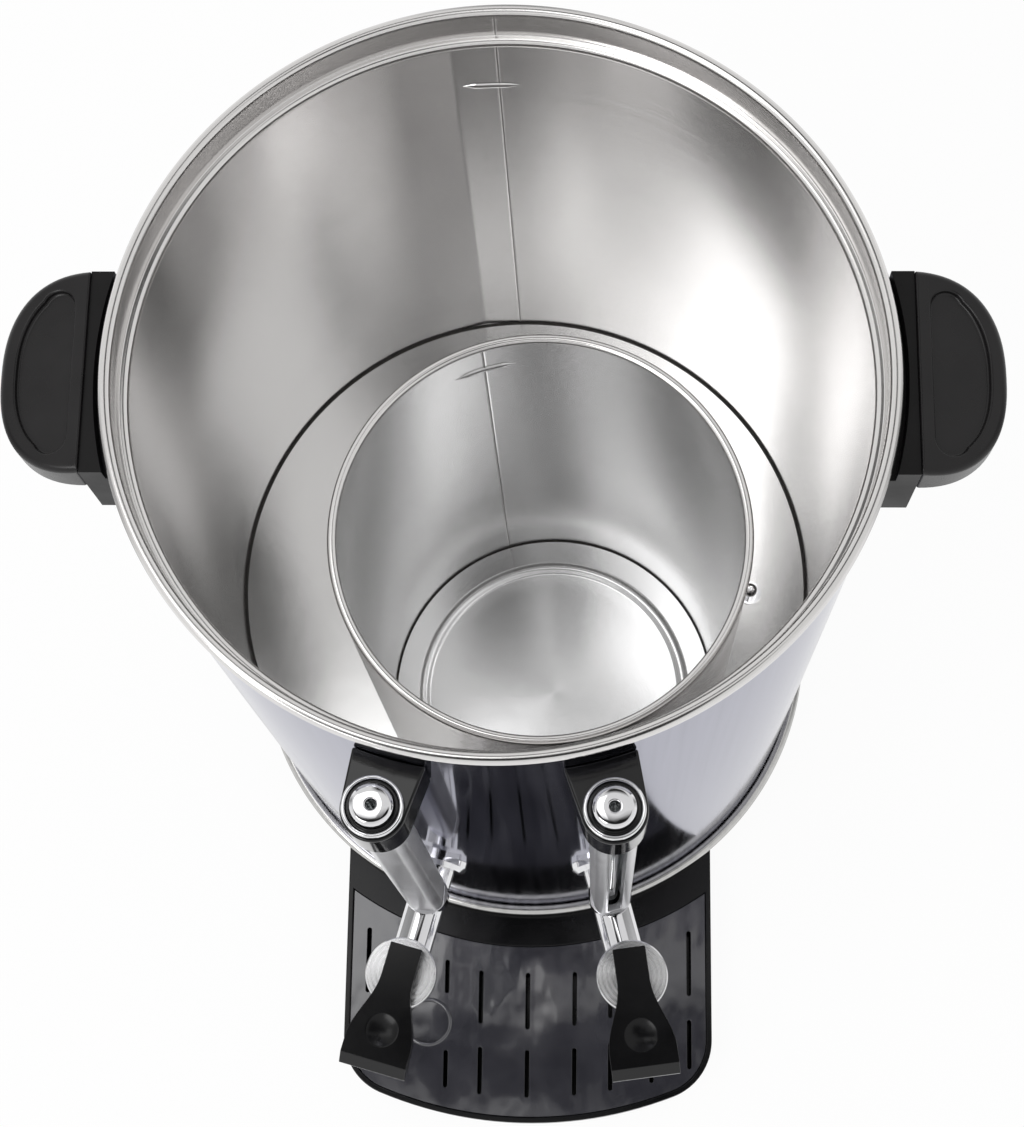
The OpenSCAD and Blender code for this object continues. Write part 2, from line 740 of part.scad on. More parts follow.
// Flange between the barrel and the shell
module tap_flange(s) {
  color(chrome) difference() {
    at_tap(s) union() {
      out(shell_ro - 4, 4 + flange_t * 0.5, flange_d);
      translate([0, -shell_ro - flange_t * 0.5 + eps, 0]) rotate([90, 0, 0])
        cylinder(d1 = flange_d, d2 = flange_d - 4, h = flange_t * 0.5 - eps, $fn = 64);
    }
    cylinder(r = shell_ro, h = rim_h, $fn = fn);
    at_tap(s) out(shell_ro - 10, 30, tail_d);
  }
}
module tap_flange_left() { tap_flange(-1); }
module tap_flange_right() { tap_flange(1); }

// Spacers between the tank and the shell
module tap_spacers() {
  color(rubber) for (s = [-1, 1]) intersection() {
    tube(tank_ro, shell_ri, tap_z - 20, 40);
    at_tap(s) difference() {
      out(tank_r - 6, 20, flange_d - 4);
      out(tank_r - 8, 30, tail_d);
    }
  }
}

// Rubber washer inside the tank at the left tap
module tap_seal_left() {
  color(rubber) intersection() {
    cylinder(r = tank_r, h = rim_h, $fn = fn);
    at_tap(-1) difference() {
      out(nut_u_left, 12, nut_af);
      out(nut_u_left - 1, 20, tail_d);
    }
  }
}

// Rubber spacer between the tea pot and the tank at the right tap
module pot_spacer() {
  color(rubber) intersection() {
    cylinder(r = tank_r, h = rim_h, $fn = fn);
    difference() {
      at_tap(1) difference() {
        out(pot_off + pot_r - 4, 20, nut_af);
        out(pot_off + pot_r - 6, 30, tail_d);
      }
      at_pot() cylinder(r = pot_ro, h = rim_h, $fn = fn);
    }
  }
}

// Rubber washer inside the tea pot
module pot_seal() {
  color(rubber) intersection() {
    at_pot() cylinder(r = pot_r, h = rim_h, $fn = fn);
    at_tap(1) difference() {
      out(nut_u_right, 10, nut_af);
      out(nut_u_right - 1, 20, tail_d);
    }
  }
}

module hex_nut(s, u) {
  color(chrome) at_tap(s) difference() {
    translate([0, -u + nut_t, 0]) rotate([90, 0, 0])
      cylinder(d = nut_af / cos(30), h = nut_t, $fn = 6);
    out(u - nut_t - 1, nut_t + 2, tail_d);
  }
}
// Lock nuts on the tap tails
module tap_nut_left() { hex_nut(-1, nut_u_left); }
module tap_nut_right() { hex_nut(1, nut_u_right); }

// Turned disc on the tap head with the pivot lug
module tap_bonnet(s) {
  color(chrome) at_head(s) difference() {
    union() {
      translate([0, 0, head_up]) cylinder(d = disc_d, h = disc_t - 0.6, $fn = 96);
      translate([0, 0, disc_z - 0.6]) cylinder(d1 = disc_d, d2 = disc_d - 1.2, h = 0.6, $fn = 96);
      translate([-lug_len / 2, -pivot_off - pivot_lug / 2, disc_z - 1])
        cube([lug_len, pivot_lug, pivot_z - disc_z + 1]);
      translate([-lug_len / 2, -pivot_off, pivot_z]) rotate([0, 90, 0])
        cylinder(d = pivot_lug, h = lug_len, $fn = 48);
    }
    translate([0, 0, head_up - 1]) cylinder(d = stem_d + 2 * run_fit, h = disc_t + 12, $fn = 64);
    translate([-lug_len, -pivot_off, pivot_z]) rotate([0, 90, 0])
      cylinder(d = pivot_d, h = 2 * lug_len, $fn = 48);
  }
}
module tap_bonnet_left() { tap_bonnet(-1); }
module tap_bonnet_right() { tap_bonnet(1); }

// Pivot pin of a lever
module lever_pin(s) {
  color(chrome) at_head(s) translate([-pin_len / 2, -pivot_off, pivot_z]) rotate([0, 90, 0])
    cylinder(d = pivot_d, h = pin_len, $fn = 48);
}
module lever_pin_left() { lever_pin(-1); }
module lever_pin_right() { lever_pin(1); }

module paddle(inset, back) {
  flare = [for (i = [0:8]) [lever_half(i / 8) - inset, -flare_y - flare_len * i / 8]];
  right = concat([[lever_w1 / 2 - inset, back]], flare, [[lever_w2 / 2 - inset, -lever_front + inset]]);
  polygon(concat(right, [for (i = [len(right) - 1:-1:0]) [-right[i][0], right[i][1]]]));
}

// Paddle lever of a tap with its turned-down end
module tap_lever(s) {
  ball = (dimple_r * dimple_r + dimple_h * dimple_h) / (2 * dimple_h);
  top = lever_z + lever_h;
  color(gloss) at_head(s) difference() {
    union() {
      translate([0, 0, lever_z]) linear_extrude(lever_h) paddle(0, lever_back);
      translate([-lever_w2 / 2, 0, 0]) rotate([90, 0, 90]) linear_extrude(lever_w2)
        polygon([[-lever_front + lip_t, top], [-lever_front, top],
          [-lever_front - lip_out, top - lip_h + 6],
          [-lever_front - lip_out, top - lip_h], [-lever_front + lip_t - 3, top - lip_h],
          [-lever_front + lip_t, top - lip_h + 4]]);
    }
    translate([0, 0, lever_z - 1]) linear_extrude(lever_h - 2 + 1) difference() {
      paddle(lever_wall, lever_back - lever_wall);
      translate([-50, -lever_front - 1]) square([100, lip_t + 1]);
    }
    translate([-50, -pivot_off - 11, lever_z - 1]) cube([100, 13, 2.5]);
    translate([0, -lever_front + 15, top + ball - dimple_h]) sphere(r = ball, $fn = 96);
    translate([-50, -pivot_off, pivot_z]) rotate([0, 90, 0])
      cylinder(d = pivot_d + 2 * run_fit, h = 100, $fn = 48);
    translate([-50, -cross_d / 2 - lever_gap, pivot_z - cross_d / 2 - 0.3])
      cube([100, cross_d + 2 * lever_gap + 0.9, cross_d + 0.6]);
  }
}
module tap_lever_left() { tap_lever(-1); }
module tap_lever_right() { tap_lever(1); }

// Valve stem with its disc and cross pin
module valve_stem(s) {
  color(chrome) at_head(s) {
    translate([0, 0, valve_z]) cylinder(d = stem_d, h = stem_top - valve_z, $fn = 64);
    translate([0, 0, valve_z - 2.5]) cylinder(d = chamber_d - 1.4, h = 4, $fn = 64);
    translate([-cross_len / 2, 0, pivot_z]) rotate([0, 90, 0])
      cylinder(d = cross_d, h = cross_len, $fn = 48);
  }
}
module valve_stem_left() { valve_stem(-1); }
module valve_stem_right() { valve_stem(1); }

// Glass tube of a level gauge
module gauge_glass(s) {
  color([0.85, 0.92, 0.95]) at_gauge(s)
    tube(glass_d / 2 - glass_t, glass_d / 2, glass_z, glass_top - glass_z);
}
module gauge_glass_left() { gauge_glass(-1); }
module gauge_glass_right() { gauge_glass(1); }

module guard_outline() {
  a = guard_w / 2;
  b = a - guard_cr;
  square([2 * a, 2 * b], center = true);
  square([2 * b, 2 * a], center = true);
  for (x = [-b, b], y = [-b, b]) translate([x, y]) circle(guard_cr, $fn = 48);
}

// Square guard of a level gauge with its viewing slot
module gauge_guard(s) {
  color(chrome) at_gauge(s) rotate([0, 0, s < 0 ? guard_turn[0] : guard_turn[1]])
    translate([0, 0, guard_z]) difference() {
      linear_extrude(guard_top - guard_z) difference() {
        guard_outline();
        circle(d = guard_bore, $fn = 64);
      }
      translate([-guard_slot / 2, -guard_w, 8])
        cube([guard_slot, guard_w, guard_top - guard_z - 8 - 14]);
    }
}
module gauge_guard_left() { gauge_guard(-1); }
module gauge_guard_right() { gauge_guard(1); }

// Scale strips behind the glass tubes
module gauge_scales() {
  y = sqrt(pow(guard_bore / 2, 2) - 2.5 * 2.5) - 0.7;
  color([0.95, 0.95, 0.93]) for (s = [-1, 1]) at_gauge(s)
    rotate([0, 0, s < 0 ? guard_turn[0] : guard_turn[1]]) translate([-2.5, y, guard_z + 2])
      cube([5, 0.6, guard_top - guard_z - 6]);
}

// Wall bracket that holds the head of a gauge
module gauge_bracket(s) {
  color(gloss) difference() {
    rotate([0, 0, s * tap_ang]) translate([0, 0, brk_z]) linear_extrude(brk_h) {
      translate([0, -gauge_u]) circle(d = brk_d, $fn = 64);
      polygon([[-brk_w / 2, -shell_ro + 4], [-brk_d / 2, -gauge_u], [brk_d / 2, -gauge_u],
        [brk_w / 2, -shell_ro + 4]]);
    }
    cylinder(r = shell_ro, h = rim_h, $fn = fn);
    at_gauge(s) translate([0, 0, brk_z - 1]) cylinder(d = guard_diag, h = 7, $fn = 64);
    at_gauge(s) translate([0, 0, brk_z - 1]) cylinder(d = seal_d, h = brk_h + 2, $fn = 64);
  }
}
module gauge_bracket_left() { gauge_bracket(-1); }
module gauge_bracket_right() { gauge_bracket(1); }

// Vented cap of a gauge
module gauge_cap(s) {
  color(chrome) at_gauge(s) translate([0, 0, brk_top]) difference() {
    rotate_extrude($fn = 96) difference() {
      union() {
        square([cap_d / 2, 2]);
        translate([cap_d / 2 - 1.6, 0]) square([1.6, 5]);
        square([cap_d / 2 - 3.6, cap_h - 2.5]);
        translate([0, cap_h - 2.5]) square([cap_d / 2 - 6.1, 2.5]);
        translate([cap_d / 2 - 6.1, cap_h - 2.5]) intersection() {
          circle(2.5, $fn = 48);
          square(3);
        }
      }
      translate([-1, -1]) square([vent_d / 2 + 1, cap_h + 2]);
      translate([-1, -1]) square([glass_d / 2 + 1.2, 6]);
    }
  }
}
module gauge_cap_left() { gauge_cap(-1); }
module gauge_cap_right() { gauge_cap(1); }

// Rubber sleeves at both ends of the glass tubes
module gauge_seals() {
  color(rubber) for (s = [-1, 1]) at_gauge(s) {
    tube(glass_d / 2, seal_d / 2, glass_z, 5);
    tube(glass_d / 2, seal_d / 2, brk_top - 8, 7);
  }
}

module tray_outline(inset, rear) {
  difference() {
    union() {
      translate([-tray_w / 2 + inset, -corner_y]) square([tray_w - 2 * inset, corner_y]);
      for (x = [-1, 1]) translate([x * corner_x, -corner_y]) circle(tray_corner - inset, $fn = 64);
      intersection() {
        translate([0, -tray_y]) circle(tray_front_r - inset, $fn = 160);
        polygon([[0, -tray_y], [-corner_x * 2, -tray_y - 2 * (corner_y - tray_y)],
          [corner_x * 2, -tray_y - 2 * (corner_y - tray_y)]]);
        translate([-300, -600]) square(600);
      }
      polygon([[0, -tray_y], [-corner_x, -corner_y], [corner_x, -corner_y]]);
    }
    circle(rear, $fn = fn);
    translate([-300, -100]) square([600, 400]);
  }
}

// Drip tray with its floor, edge, ledge, rear band and the tongues that slip under the base
module drip_tray() {
  color(gloss) difference() {
    union() {
      linear_extrude(tray_h) tray_outline(0, tray_in);
      for (x = [-50, 50]) translate([x - 15, -tray_in - 2, tongue_z])
        cube([30, 32, foot_h - tongue_z - 0.8]);
    }
    translate([0, 0, tray_floor]) linear_extrude(tray_h) tray_outline(tray_wall + 3, grid_in + 3);
    translate([0, 0, grid_top - grid_t - grid_gap]) linear_extrude(tray_h) tray_outline(tray_wall, grid_in);
  }
}

// Slotted grid of the drip tray with the finger recess
module drip_grid() {
  color(gloss) difference() {
    translate([0, 0, grid_top - grid_t]) linear_extrude(grid_t)
      tray_outline(tray_wall + grid_gap, grid_in + grid_gap);
    for (s = slots) translate([0, 0, grid_top - grid_t - 1]) linear_extrude(grid_t + 2) {
      translate([s[0] - slot_w / 2, -s[2] + slot_w / 2]) square([slot_w, s[2] - s[1] - slot_w]);
      for (y = [s[1] + slot_w / 2, s[2] - slot_w / 2]) translate([s[0], -y]) circle(d = slot_w, $fn = 32);
    }
    translate([finger[0], finger[1], grid_top - finger_h]) cylinder(r = finger_r, h = 5, $fn = 64);
  }
}

outer_shell();
tank_wall();
rim_ring();
tank_floor();
bottom_ring();
pot_wall();
pot_rim();
pot_floor();
floor_probe();
probe_nut();
heater_plate();
heating_element();
thermostat_body();
thermal_cutout();
base_housing();
base_plate();
base_feet();
base_screws();
control_panel();
thermostat_knob();
switch_rocker();
pilot_lamp();
mains_inlet();
inlet_pins();
handle_bracket_left();
handle_bracket_right();
handle_grip_left();
handle_grip_right();
handle_screws();
tap_body_left();
tap_body_right();
tap_flange_left();
tap_flange_right();
tap_spacers();
tap_seal_left();
pot_spacer();
pot_seal();
tap_nut_left();
tap_nut_right();
tap_bonnet_left();
tap_bonnet_right();
lever_pin_left();
lever_pin_right();
tap_lever_left();
tap_lever_right();
valve_stem_left();
valve_stem_right();
gauge_glass_left();
gauge_glass_right();
gauge_guard_left();
gauge_guard_right();
gauge_scales();
gauge_bracket_left();
gauge_bracket_right();
gauge_cap_left();
gauge_cap_right();
gauge_seals();
drip_tray();
drip_grid();
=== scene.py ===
"""Dresses the two-chamber samovar: finishes, softened edges, small marks, studio and camera."""
import logging
import math
from dataclasses import dataclass, field
from enum import Enum
from typing import Callable, Sequence

import bmesh
import bpy
from mathutils import Matrix, Vector


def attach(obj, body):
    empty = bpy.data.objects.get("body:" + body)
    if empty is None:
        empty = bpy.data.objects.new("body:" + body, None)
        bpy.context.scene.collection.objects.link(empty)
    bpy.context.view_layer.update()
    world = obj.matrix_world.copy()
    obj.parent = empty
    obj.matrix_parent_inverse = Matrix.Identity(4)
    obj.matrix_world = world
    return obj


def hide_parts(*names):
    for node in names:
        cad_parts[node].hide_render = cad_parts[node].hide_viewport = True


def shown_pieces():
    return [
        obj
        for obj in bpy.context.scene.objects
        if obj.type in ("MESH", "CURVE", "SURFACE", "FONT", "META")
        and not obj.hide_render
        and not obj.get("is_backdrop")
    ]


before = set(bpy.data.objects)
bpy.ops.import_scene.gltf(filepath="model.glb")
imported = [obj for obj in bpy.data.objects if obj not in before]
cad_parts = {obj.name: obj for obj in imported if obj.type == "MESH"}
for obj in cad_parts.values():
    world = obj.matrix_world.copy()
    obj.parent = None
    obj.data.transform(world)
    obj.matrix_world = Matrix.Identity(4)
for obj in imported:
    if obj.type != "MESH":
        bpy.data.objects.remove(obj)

log = logging.getLogger("samovar")
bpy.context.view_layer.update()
MM = 0.001
Point = tuple[float, float, float]
Pair = tuple[float, float]
Profile = Sequence[Pair]
Material = bpy.types.Material
Mesh = bpy.types.Mesh
Node = bpy.types.Node
Object = bpy.types.Object
Socket = bpy.types.NodeSocket
Weigh = Callable[[bmesh.types.BMEdge], float]
ORIGIN: Point = (0.0, 0.0, 0.0)
LOW, HIGH = 0.3, 0.7  # the range that most values of a noise lie in


class Side(Enum):
    """The two sides of the urn, with the sign of X."""

    LEFT = -1
    RIGHT = 1

    @property
    def word(self) -> str:
        """Suffix of the side's node names."""
        return self.name.lower()


class Slot(Enum):
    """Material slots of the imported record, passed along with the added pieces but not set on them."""

    SHELL = "shell"
    TANK = "tank"
    CHROME = "chrome"
    BLACK = "black"
    GLOSS = "gloss_black"
    SCALE = "scale"


class Join(Enum):
    """Ways in which a math node joins two values."""

    PLUS = "ADD"
    TIMES = "MULTIPLY"
    MOST = "MAXIMUM"


def scaled(values: Point, factor: float) -> Point:
    """Three values, such as a colour or a size, times a factor."""
    return tuple(v * factor for v in values)


def shift(x: float, y: float, z: float) -> Matrix:
    """Move to a point that is given in millimetres."""
    return Matrix.Translation(Vector((x, y, z)) * MM)


def from_front(angle: float, away: float, z: float = 0.0) -> Point:
    """A point around the tank's axis.

    Args:
        angle: angle from the front in degrees, positive to the right.
        away: distance from the axis in millimetres.
        z: height in millimetres.

    Returns:
        The point in metres.
    """
    a = math.radians(angle)
    return (away * math.sin(a) * MM, -away * math.cos(a) * MM, z * MM)


class Tree:
    """A node tree with a short call for a linked node."""

    def __init__(self, tree: bpy.types.NodeTree) -> None:
        """Takes over a tree."""
        self.tree = tree

    def add(self, kind: str, links: dict[str | int, Socket] | None = None, **values: object) -> Node:
        """Adds a node, links its inputs and sets the rest.

        Args:
            kind: node type.
            links: input name or number to socket.
            values: node properties, or input values under their names with _ for a space.

        Returns:
            The node.
        """
        node = self.tree.nodes.new(kind)
        for key, value in values.items():
            if hasattr(node, key):
                setattr(node, key, value)
            else:
                node.inputs[key.replace("_", " ")].default_value = value
        for key, socket in (links or {}).items():
            self.tree.links.new(socket, node.inputs[key])
        return node


class Looks(Tree):
    """A shader tree with short calls for the nodes that the looks use."""

    def __init__(self, tree: bpy.types.NodeTree, shader: str) -> None:
        """Takes over a tree.

        Args:
            tree: the tree.
            shader: name of its main shader.
        """
        super().__init__(tree)
        self.shader = tree.nodes[shader]

    def feed(self, **links: Socket) -> None:
        """Links sockets to the shader's inputs, named with _ for a space."""
        for key, socket in links.items():
            self.tree.links.new(socket, self.shader.inputs[key.replace("_", " ")])

    def spread(self, value: Socket, low: float, high: float, start: float = LOW, end: float = HIGH) -> Socket:
        """Maps a range of a value to another one.

        Args:
            value: the value.
            low: result at the start of the range.
            high: result at its end.
            start: start of the range.
            end: end of the range.

        Returns:
            The result's socket.
        """
        node = self.add("ShaderNodeMapRange", {"Value": value},
                        From_Min=start, From_Max=end, To_Min=low, To_Max=high)
        return node.outputs["Result"]

    def tint(self, value: Socket, *stops: tuple[float, Point], blend: str = "LINEAR") -> Socket:
        """Colour ramp over a value.

        Args:
            value: position on the ramp.
            stops: position and colour of its two stops.
            blend: how the colours blend between them.

        Returns:
            The colour socket.
        """
        node = self.add("ShaderNodeValToRGB", {"Fac": value})
        node.color_ramp.interpolation = blend
        for element, (position, colour) in zip(node.color_ramp.elements, stops):
            element.position = position
            element.color = (*colour, 1.0)
        return node.outputs["Color"]

    def join(self, a: Socket, b: Socket | float, how: Join = Join.PLUS) -> Socket:
        """Joins two values with a math node.

        Args:
            a: the first value.
            b: the second value, a socket or a number.
            how: the way to join them.

        Returns:
            The result's socket.
        """
        node = self.add("ShaderNodeMath", {0: a}, operation=how.value)
        if isinstance(b, float):
            node.inputs[1].default_value = b
        else:
            self.tree.links.new(b, node.inputs[1])
        return node.outputs[0]

    def cover(self, share: Socket, other: Node, end: str) -> None:
        """Lays another shader over the main one and ends the tree in both.

        Args:
            share: share of the other shader.
            other: its node.
            end: name of the tree's output node.
        """
        mix = self.add("ShaderNodeMixShader", {0: share, 1: self.shader.outputs[0], 2: other.outputs[0]})
        self.tree.links.new(mix.outputs[0], self.tree.nodes[end].inputs["Surface"])


class Sheet(Looks):
    """The node tree of a new material."""

    def __init__(self, name: str, **values: object) -> None:
        """Makes a material and sets plain values on its Principled shader.

        Args:
            name: name of the material.
            values: socket names with _ for a space.
        """
        self.material = bpy.data.materials.new(name)
        self.material.use_nodes = True
        super().__init__(self.material.node_tree, "Principled BSDF")
        for key, value in values.items():
            self.shader.inputs[key.replace("_", " ")].default_value = value

    def place(self, scale: Point = (1, 1, 1), centre: Point = ORIGIN) -> Socket:
        """Object coordinates through a mapping.

        Args:
            scale: stretch of the pattern.
            centre: point of the object that becomes the pattern's origin.

        Returns:
            The vector socket.
        """
        vector = self.add("ShaderNodeTexCoord").outputs["Object"]
        for key, value in (("Location", scaled(centre, -1)), ("Scale", scale)):
            step = self.add("ShaderNodeMapping", {"Vector": vector}, **{key: value})
            vector = step.outputs["Vector"]
        return vector

    def noise(self, vector: Socket, scale: float, detail: float = 3.0, rough: float = 0.5) -> Socket:
        """Value of a noise texture.

        Args:
            vector: place on the pattern.
            scale: spots per metre, about.
            detail: number of finer layers.
            rough: strength of the finer layers.

        Returns:
            The value's socket.
        """
        node = self.add("ShaderNodeTexNoise", {"Vector": vector}, Scale=scale, Detail=detail, Roughness=rough)
        return node.outputs["Fac"]

    def rings(self, centre: Point, scale: float, distortion: float) -> Socket:
        """Value of rings around an upright axis, as a lathe leaves them.

        Args:
            centre: a point on the axis.
            scale: closeness of the rings.
            distortion: unevenness of the rings.

        Returns:
            The value's socket.
        """
        node = self.add("ShaderNodeTexWave", {"Vector": self.place(centre=centre)}, wave_type="RINGS",
                        rings_direction="Z", Scale=scale, Distortion=distortion, Detail=2.0)
        return node.outputs["Fac"]

    def bump(self, value: Socket, strength: float, depth: float) -> Node:
        """Uses a value as the shader's bump.

        Args:
            value: height of the pattern.
            strength: strength of the effect.
            depth: depth of the pattern in metres.

        Returns:
            The bump's node.
        """
        node = self.add("ShaderNodeBump", {"Height": value}, Strength=strength, Distance=depth)
        self.feed(Normal=node.outputs["Normal"])
        return node


@dataclass(frozen=True)
class MirrorSteel:
    """Polished sheet of the outer shell, with faint upright streaks."""

    name: str = "mirror_steel"
    shade: Point = (0.53, 0.532, 0.575)
    rough: Pair = (0.05, 0.11)
    band: Pair = (0.12, 0.42)
    dull: float = 0.90
    bright: float = 1.03
    edge_gain: float = 1.25
    streaks: float = 260.0
    clouds: float = 16.0
    relief: Pair = (0.04, 0.00006)

    def make(self) -> Material:
        """Builds the material.

        Returns:
            The material.
        """
        edge = (*(min(1.0, self.edge_gain * c) for c in self.shade), 1.0)
        s = Sheet(self.name, Metallic=1.0, Specular_Tint=edge)
        streak = s.noise(s.place((1, 1, 0.02)), self.streaks, 2)
        cloud = s.noise(s.place((1, 1, 0.3)), self.clouds)
        darkest, brightest = scaled(self.shade, self.dull), scaled(self.shade, self.bright)
        s.feed(Roughness=s.spread(s.join(streak, cloud, Join.TIMES), *self.rough, *self.band),
               Base_Color=s.tint(streak, (LOW, darkest), (HIGH, brightest)))
        s.bump(streak, *self.relief)
        return s.material


@dataclass(frozen=True)
class SatinSteel:
    """Sheet of the tank and the tea pot, brushed around its axis."""

    name: str
    shade: Point = (0.86, 0.849, 0.845)
    rough: Pair = (0.11, 0.17)
    centre: Point = ORIGIN
    flat: bool = False
    anisotropy: float = 0.6
    brush_share: float = 0.3
    cloud_share: float = 0.7
    band: Pair = (0.38, 0.62)
    dull: float = 0.93
    relief: Pair = (0.5, 0.0006)

    def make(self) -> Material:
        """Builds the material.

        Returns:
            The material.
        """
        s = Sheet(self.name, Metallic=1.0, Anisotropic=self.anisotropy, Anisotropic_Rotation=0.25)
        if self.flat:
            brush = s.rings(self.centre, 700, 1.5)
        else:
            brush = s.noise(s.place((1, 1, 75), self.centre), 12, 2, 0.6)
        cloud = s.noise(s.place((1, 1, 0.6), self.centre), 9, 4)
        mixed = s.join(s.join(brush, self.brush_share, Join.TIMES), s.join(cloud, self.cloud_share, Join.TIMES))
        low, high = self.band
        s.feed(Roughness=s.spread(mixed, *self.rough, low, high),
               Base_Color=s.tint(mixed, (low, scaled(self.shade, self.dull)), (high, self.shade)))
        s.bump(cloud, *self.relief)
        return s.material


@dataclass(frozen=True)
class Chrome:
    """Bright plating with faint smudges."""

    name: str = "chrome_plating"
    shade: Point = (0.80, 0.80, 0.815)
    rough: Pair = (0.03, 0.10)
    smudges: float = 55.0
    dull: float = 0.94
    pores: float = 320.0
    relief: Pair = (0.02, 0.00004)

    def make(self) -> Material:
        """Builds the material.

        Returns:
            The material.
        """
        s = Sheet(self.name, Metallic=1.0)
        smudge = s.noise(s.place(), self.smudges, 5, 0.6)
        s.feed(Roughness=s.spread(smudge, *self.rough, 0.4, 0.75),
               Base_Color=s.tint(smudge, (LOW, self.shade), (0.8, scaled(self.shade, self.dull))))
        s.bump(s.noise(s.place(), self.pores, 2), *self.relief)
        return s.material


@dataclass(frozen=True)
class TurnedDisc:
    """Plated disc with the rings of the lathe around its centre."""

    name: str
    centre: Point
    shade: Point = (0.84, 0.84, 0.85)
    rough: Pair = (0.16, 0.34)
    fine_share: float = 0.6
    coarse_share: float = 0.4
    band: Pair = (0.1, 0.9)
    dull: float = 0.82
    relief: Pair = (0.16, 0.00012)

    def make(self) -> Material:
        """Builds the material.

        Returns:
            The material.
        """
        s = Sheet(self.name, Metallic=1.0, Anisotropic=0.7, Anisotropic_Rotation=0.25)
        fine = s.rings(self.centre, 520, 0.8)
        coarse = s.rings(self.centre, 130, 0.4)
        mixed = s.join(s.join(fine, self.fine_share, Join.TIMES), s.join(coarse, self.coarse_share, Join.TIMES))
        low, high = self.band
        s.feed(Roughness=s.spread(mixed, *self.rough, low, high),
               Base_Color=s.tint(mixed, (low, scaled(self.shade, self.dull)), (high, self.shade)))
        s.bump(mixed, *self.relief)
        return s.material


@dataclass(frozen=True)
class BlackPlastic:
    """Moulded black plastic, glossy, wavy or grained."""

    name: str
    shade: Point
    rough: Pair = (0.06, 0.12)
    grain: float = 900.0
    depth: float = 0.00002
    coat: float = 0.0
    wave: float = 0.0
    level: float = 0.5
    wear_spots: float = 34.0
    hill_spots: float = 21.0

    def make(self) -> Material:
        """Builds the material.

        Returns:
            The material.
        """
        s = Sheet(self.name, Specular_IOR_Level=self.level, Coat_Weight=self.coat, Coat_Roughness=0.06, Coat_IOR=1.6)
        wear = s.noise(s.place(), self.wear_spots, 4, 0.6)
        lighter = tuple(c * 1.5 + 0.002 for c in self.shade)
        s.feed(Roughness=s.spread(wear, *self.rough, 0.35, 0.7),
               Base_Color=s.tint(wear, (0.35, self.shade), (0.8, lighter)))
        grain = s.bump(s.noise(s.place(), self.grain, 2), 0.25, self.depth)
        if self.wave:
            hills = s.noise(s.place((1, 0.6, 1)), self.hill_spots, 3, 0.42)
            swell = s.add("ShaderNodeBump", {"Height": hills}, Distance=self.wave).outputs["Normal"]
            s.tree.links.new(swell, grain.inputs["Normal"])
            s.feed(Coat_Normal=swell)
        return s.material


@dataclass(frozen=True)
class Plain:
    """A dull or tinted solid with a light mottle."""

    name: str
    shade: Point
    rough: float = 0.6
    metal: float = 0.0
    mottle: float = 0.8
    scale: float = 120.0
    depth: float = 0.00005

    def make(self) -> Material:
        """Builds the material.

        Returns:
            The material.
        """
        s = Sheet(self.name, Metallic=self.metal)
        spots = s.noise(s.place(), self.scale, 4, 0.6)
        s.feed(Base_Color=s.tint(spots, (LOW, scaled(self.shade, self.mottle)), (HIGH, self.shade)),
               Roughness=s.spread(spots, self.rough * 0.85, min(1.0, self.rough * 1.15)))
        s.bump(spots, 0.2, self.depth)
        return s.material


@dataclass(frozen=True)
class ClearGlass:
    """Clear tube glass."""

    name: str = "tube_glass"
    shade: Point = (0.95, 0.98, 0.98)
    index: float = 1.47

    def make(self) -> Material:
        """Builds the material.

        Returns:
            The material.
        """
        s = Sheet(self.name, Base_Color=(*self.shade, 1.0), Transmission_Weight=1.0, IOR=self.index)
        s.feed(Roughness=s.spread(s.noise(s.place((1, 1, 0.1)), 60), 0.0, 0.05))
        return s.material


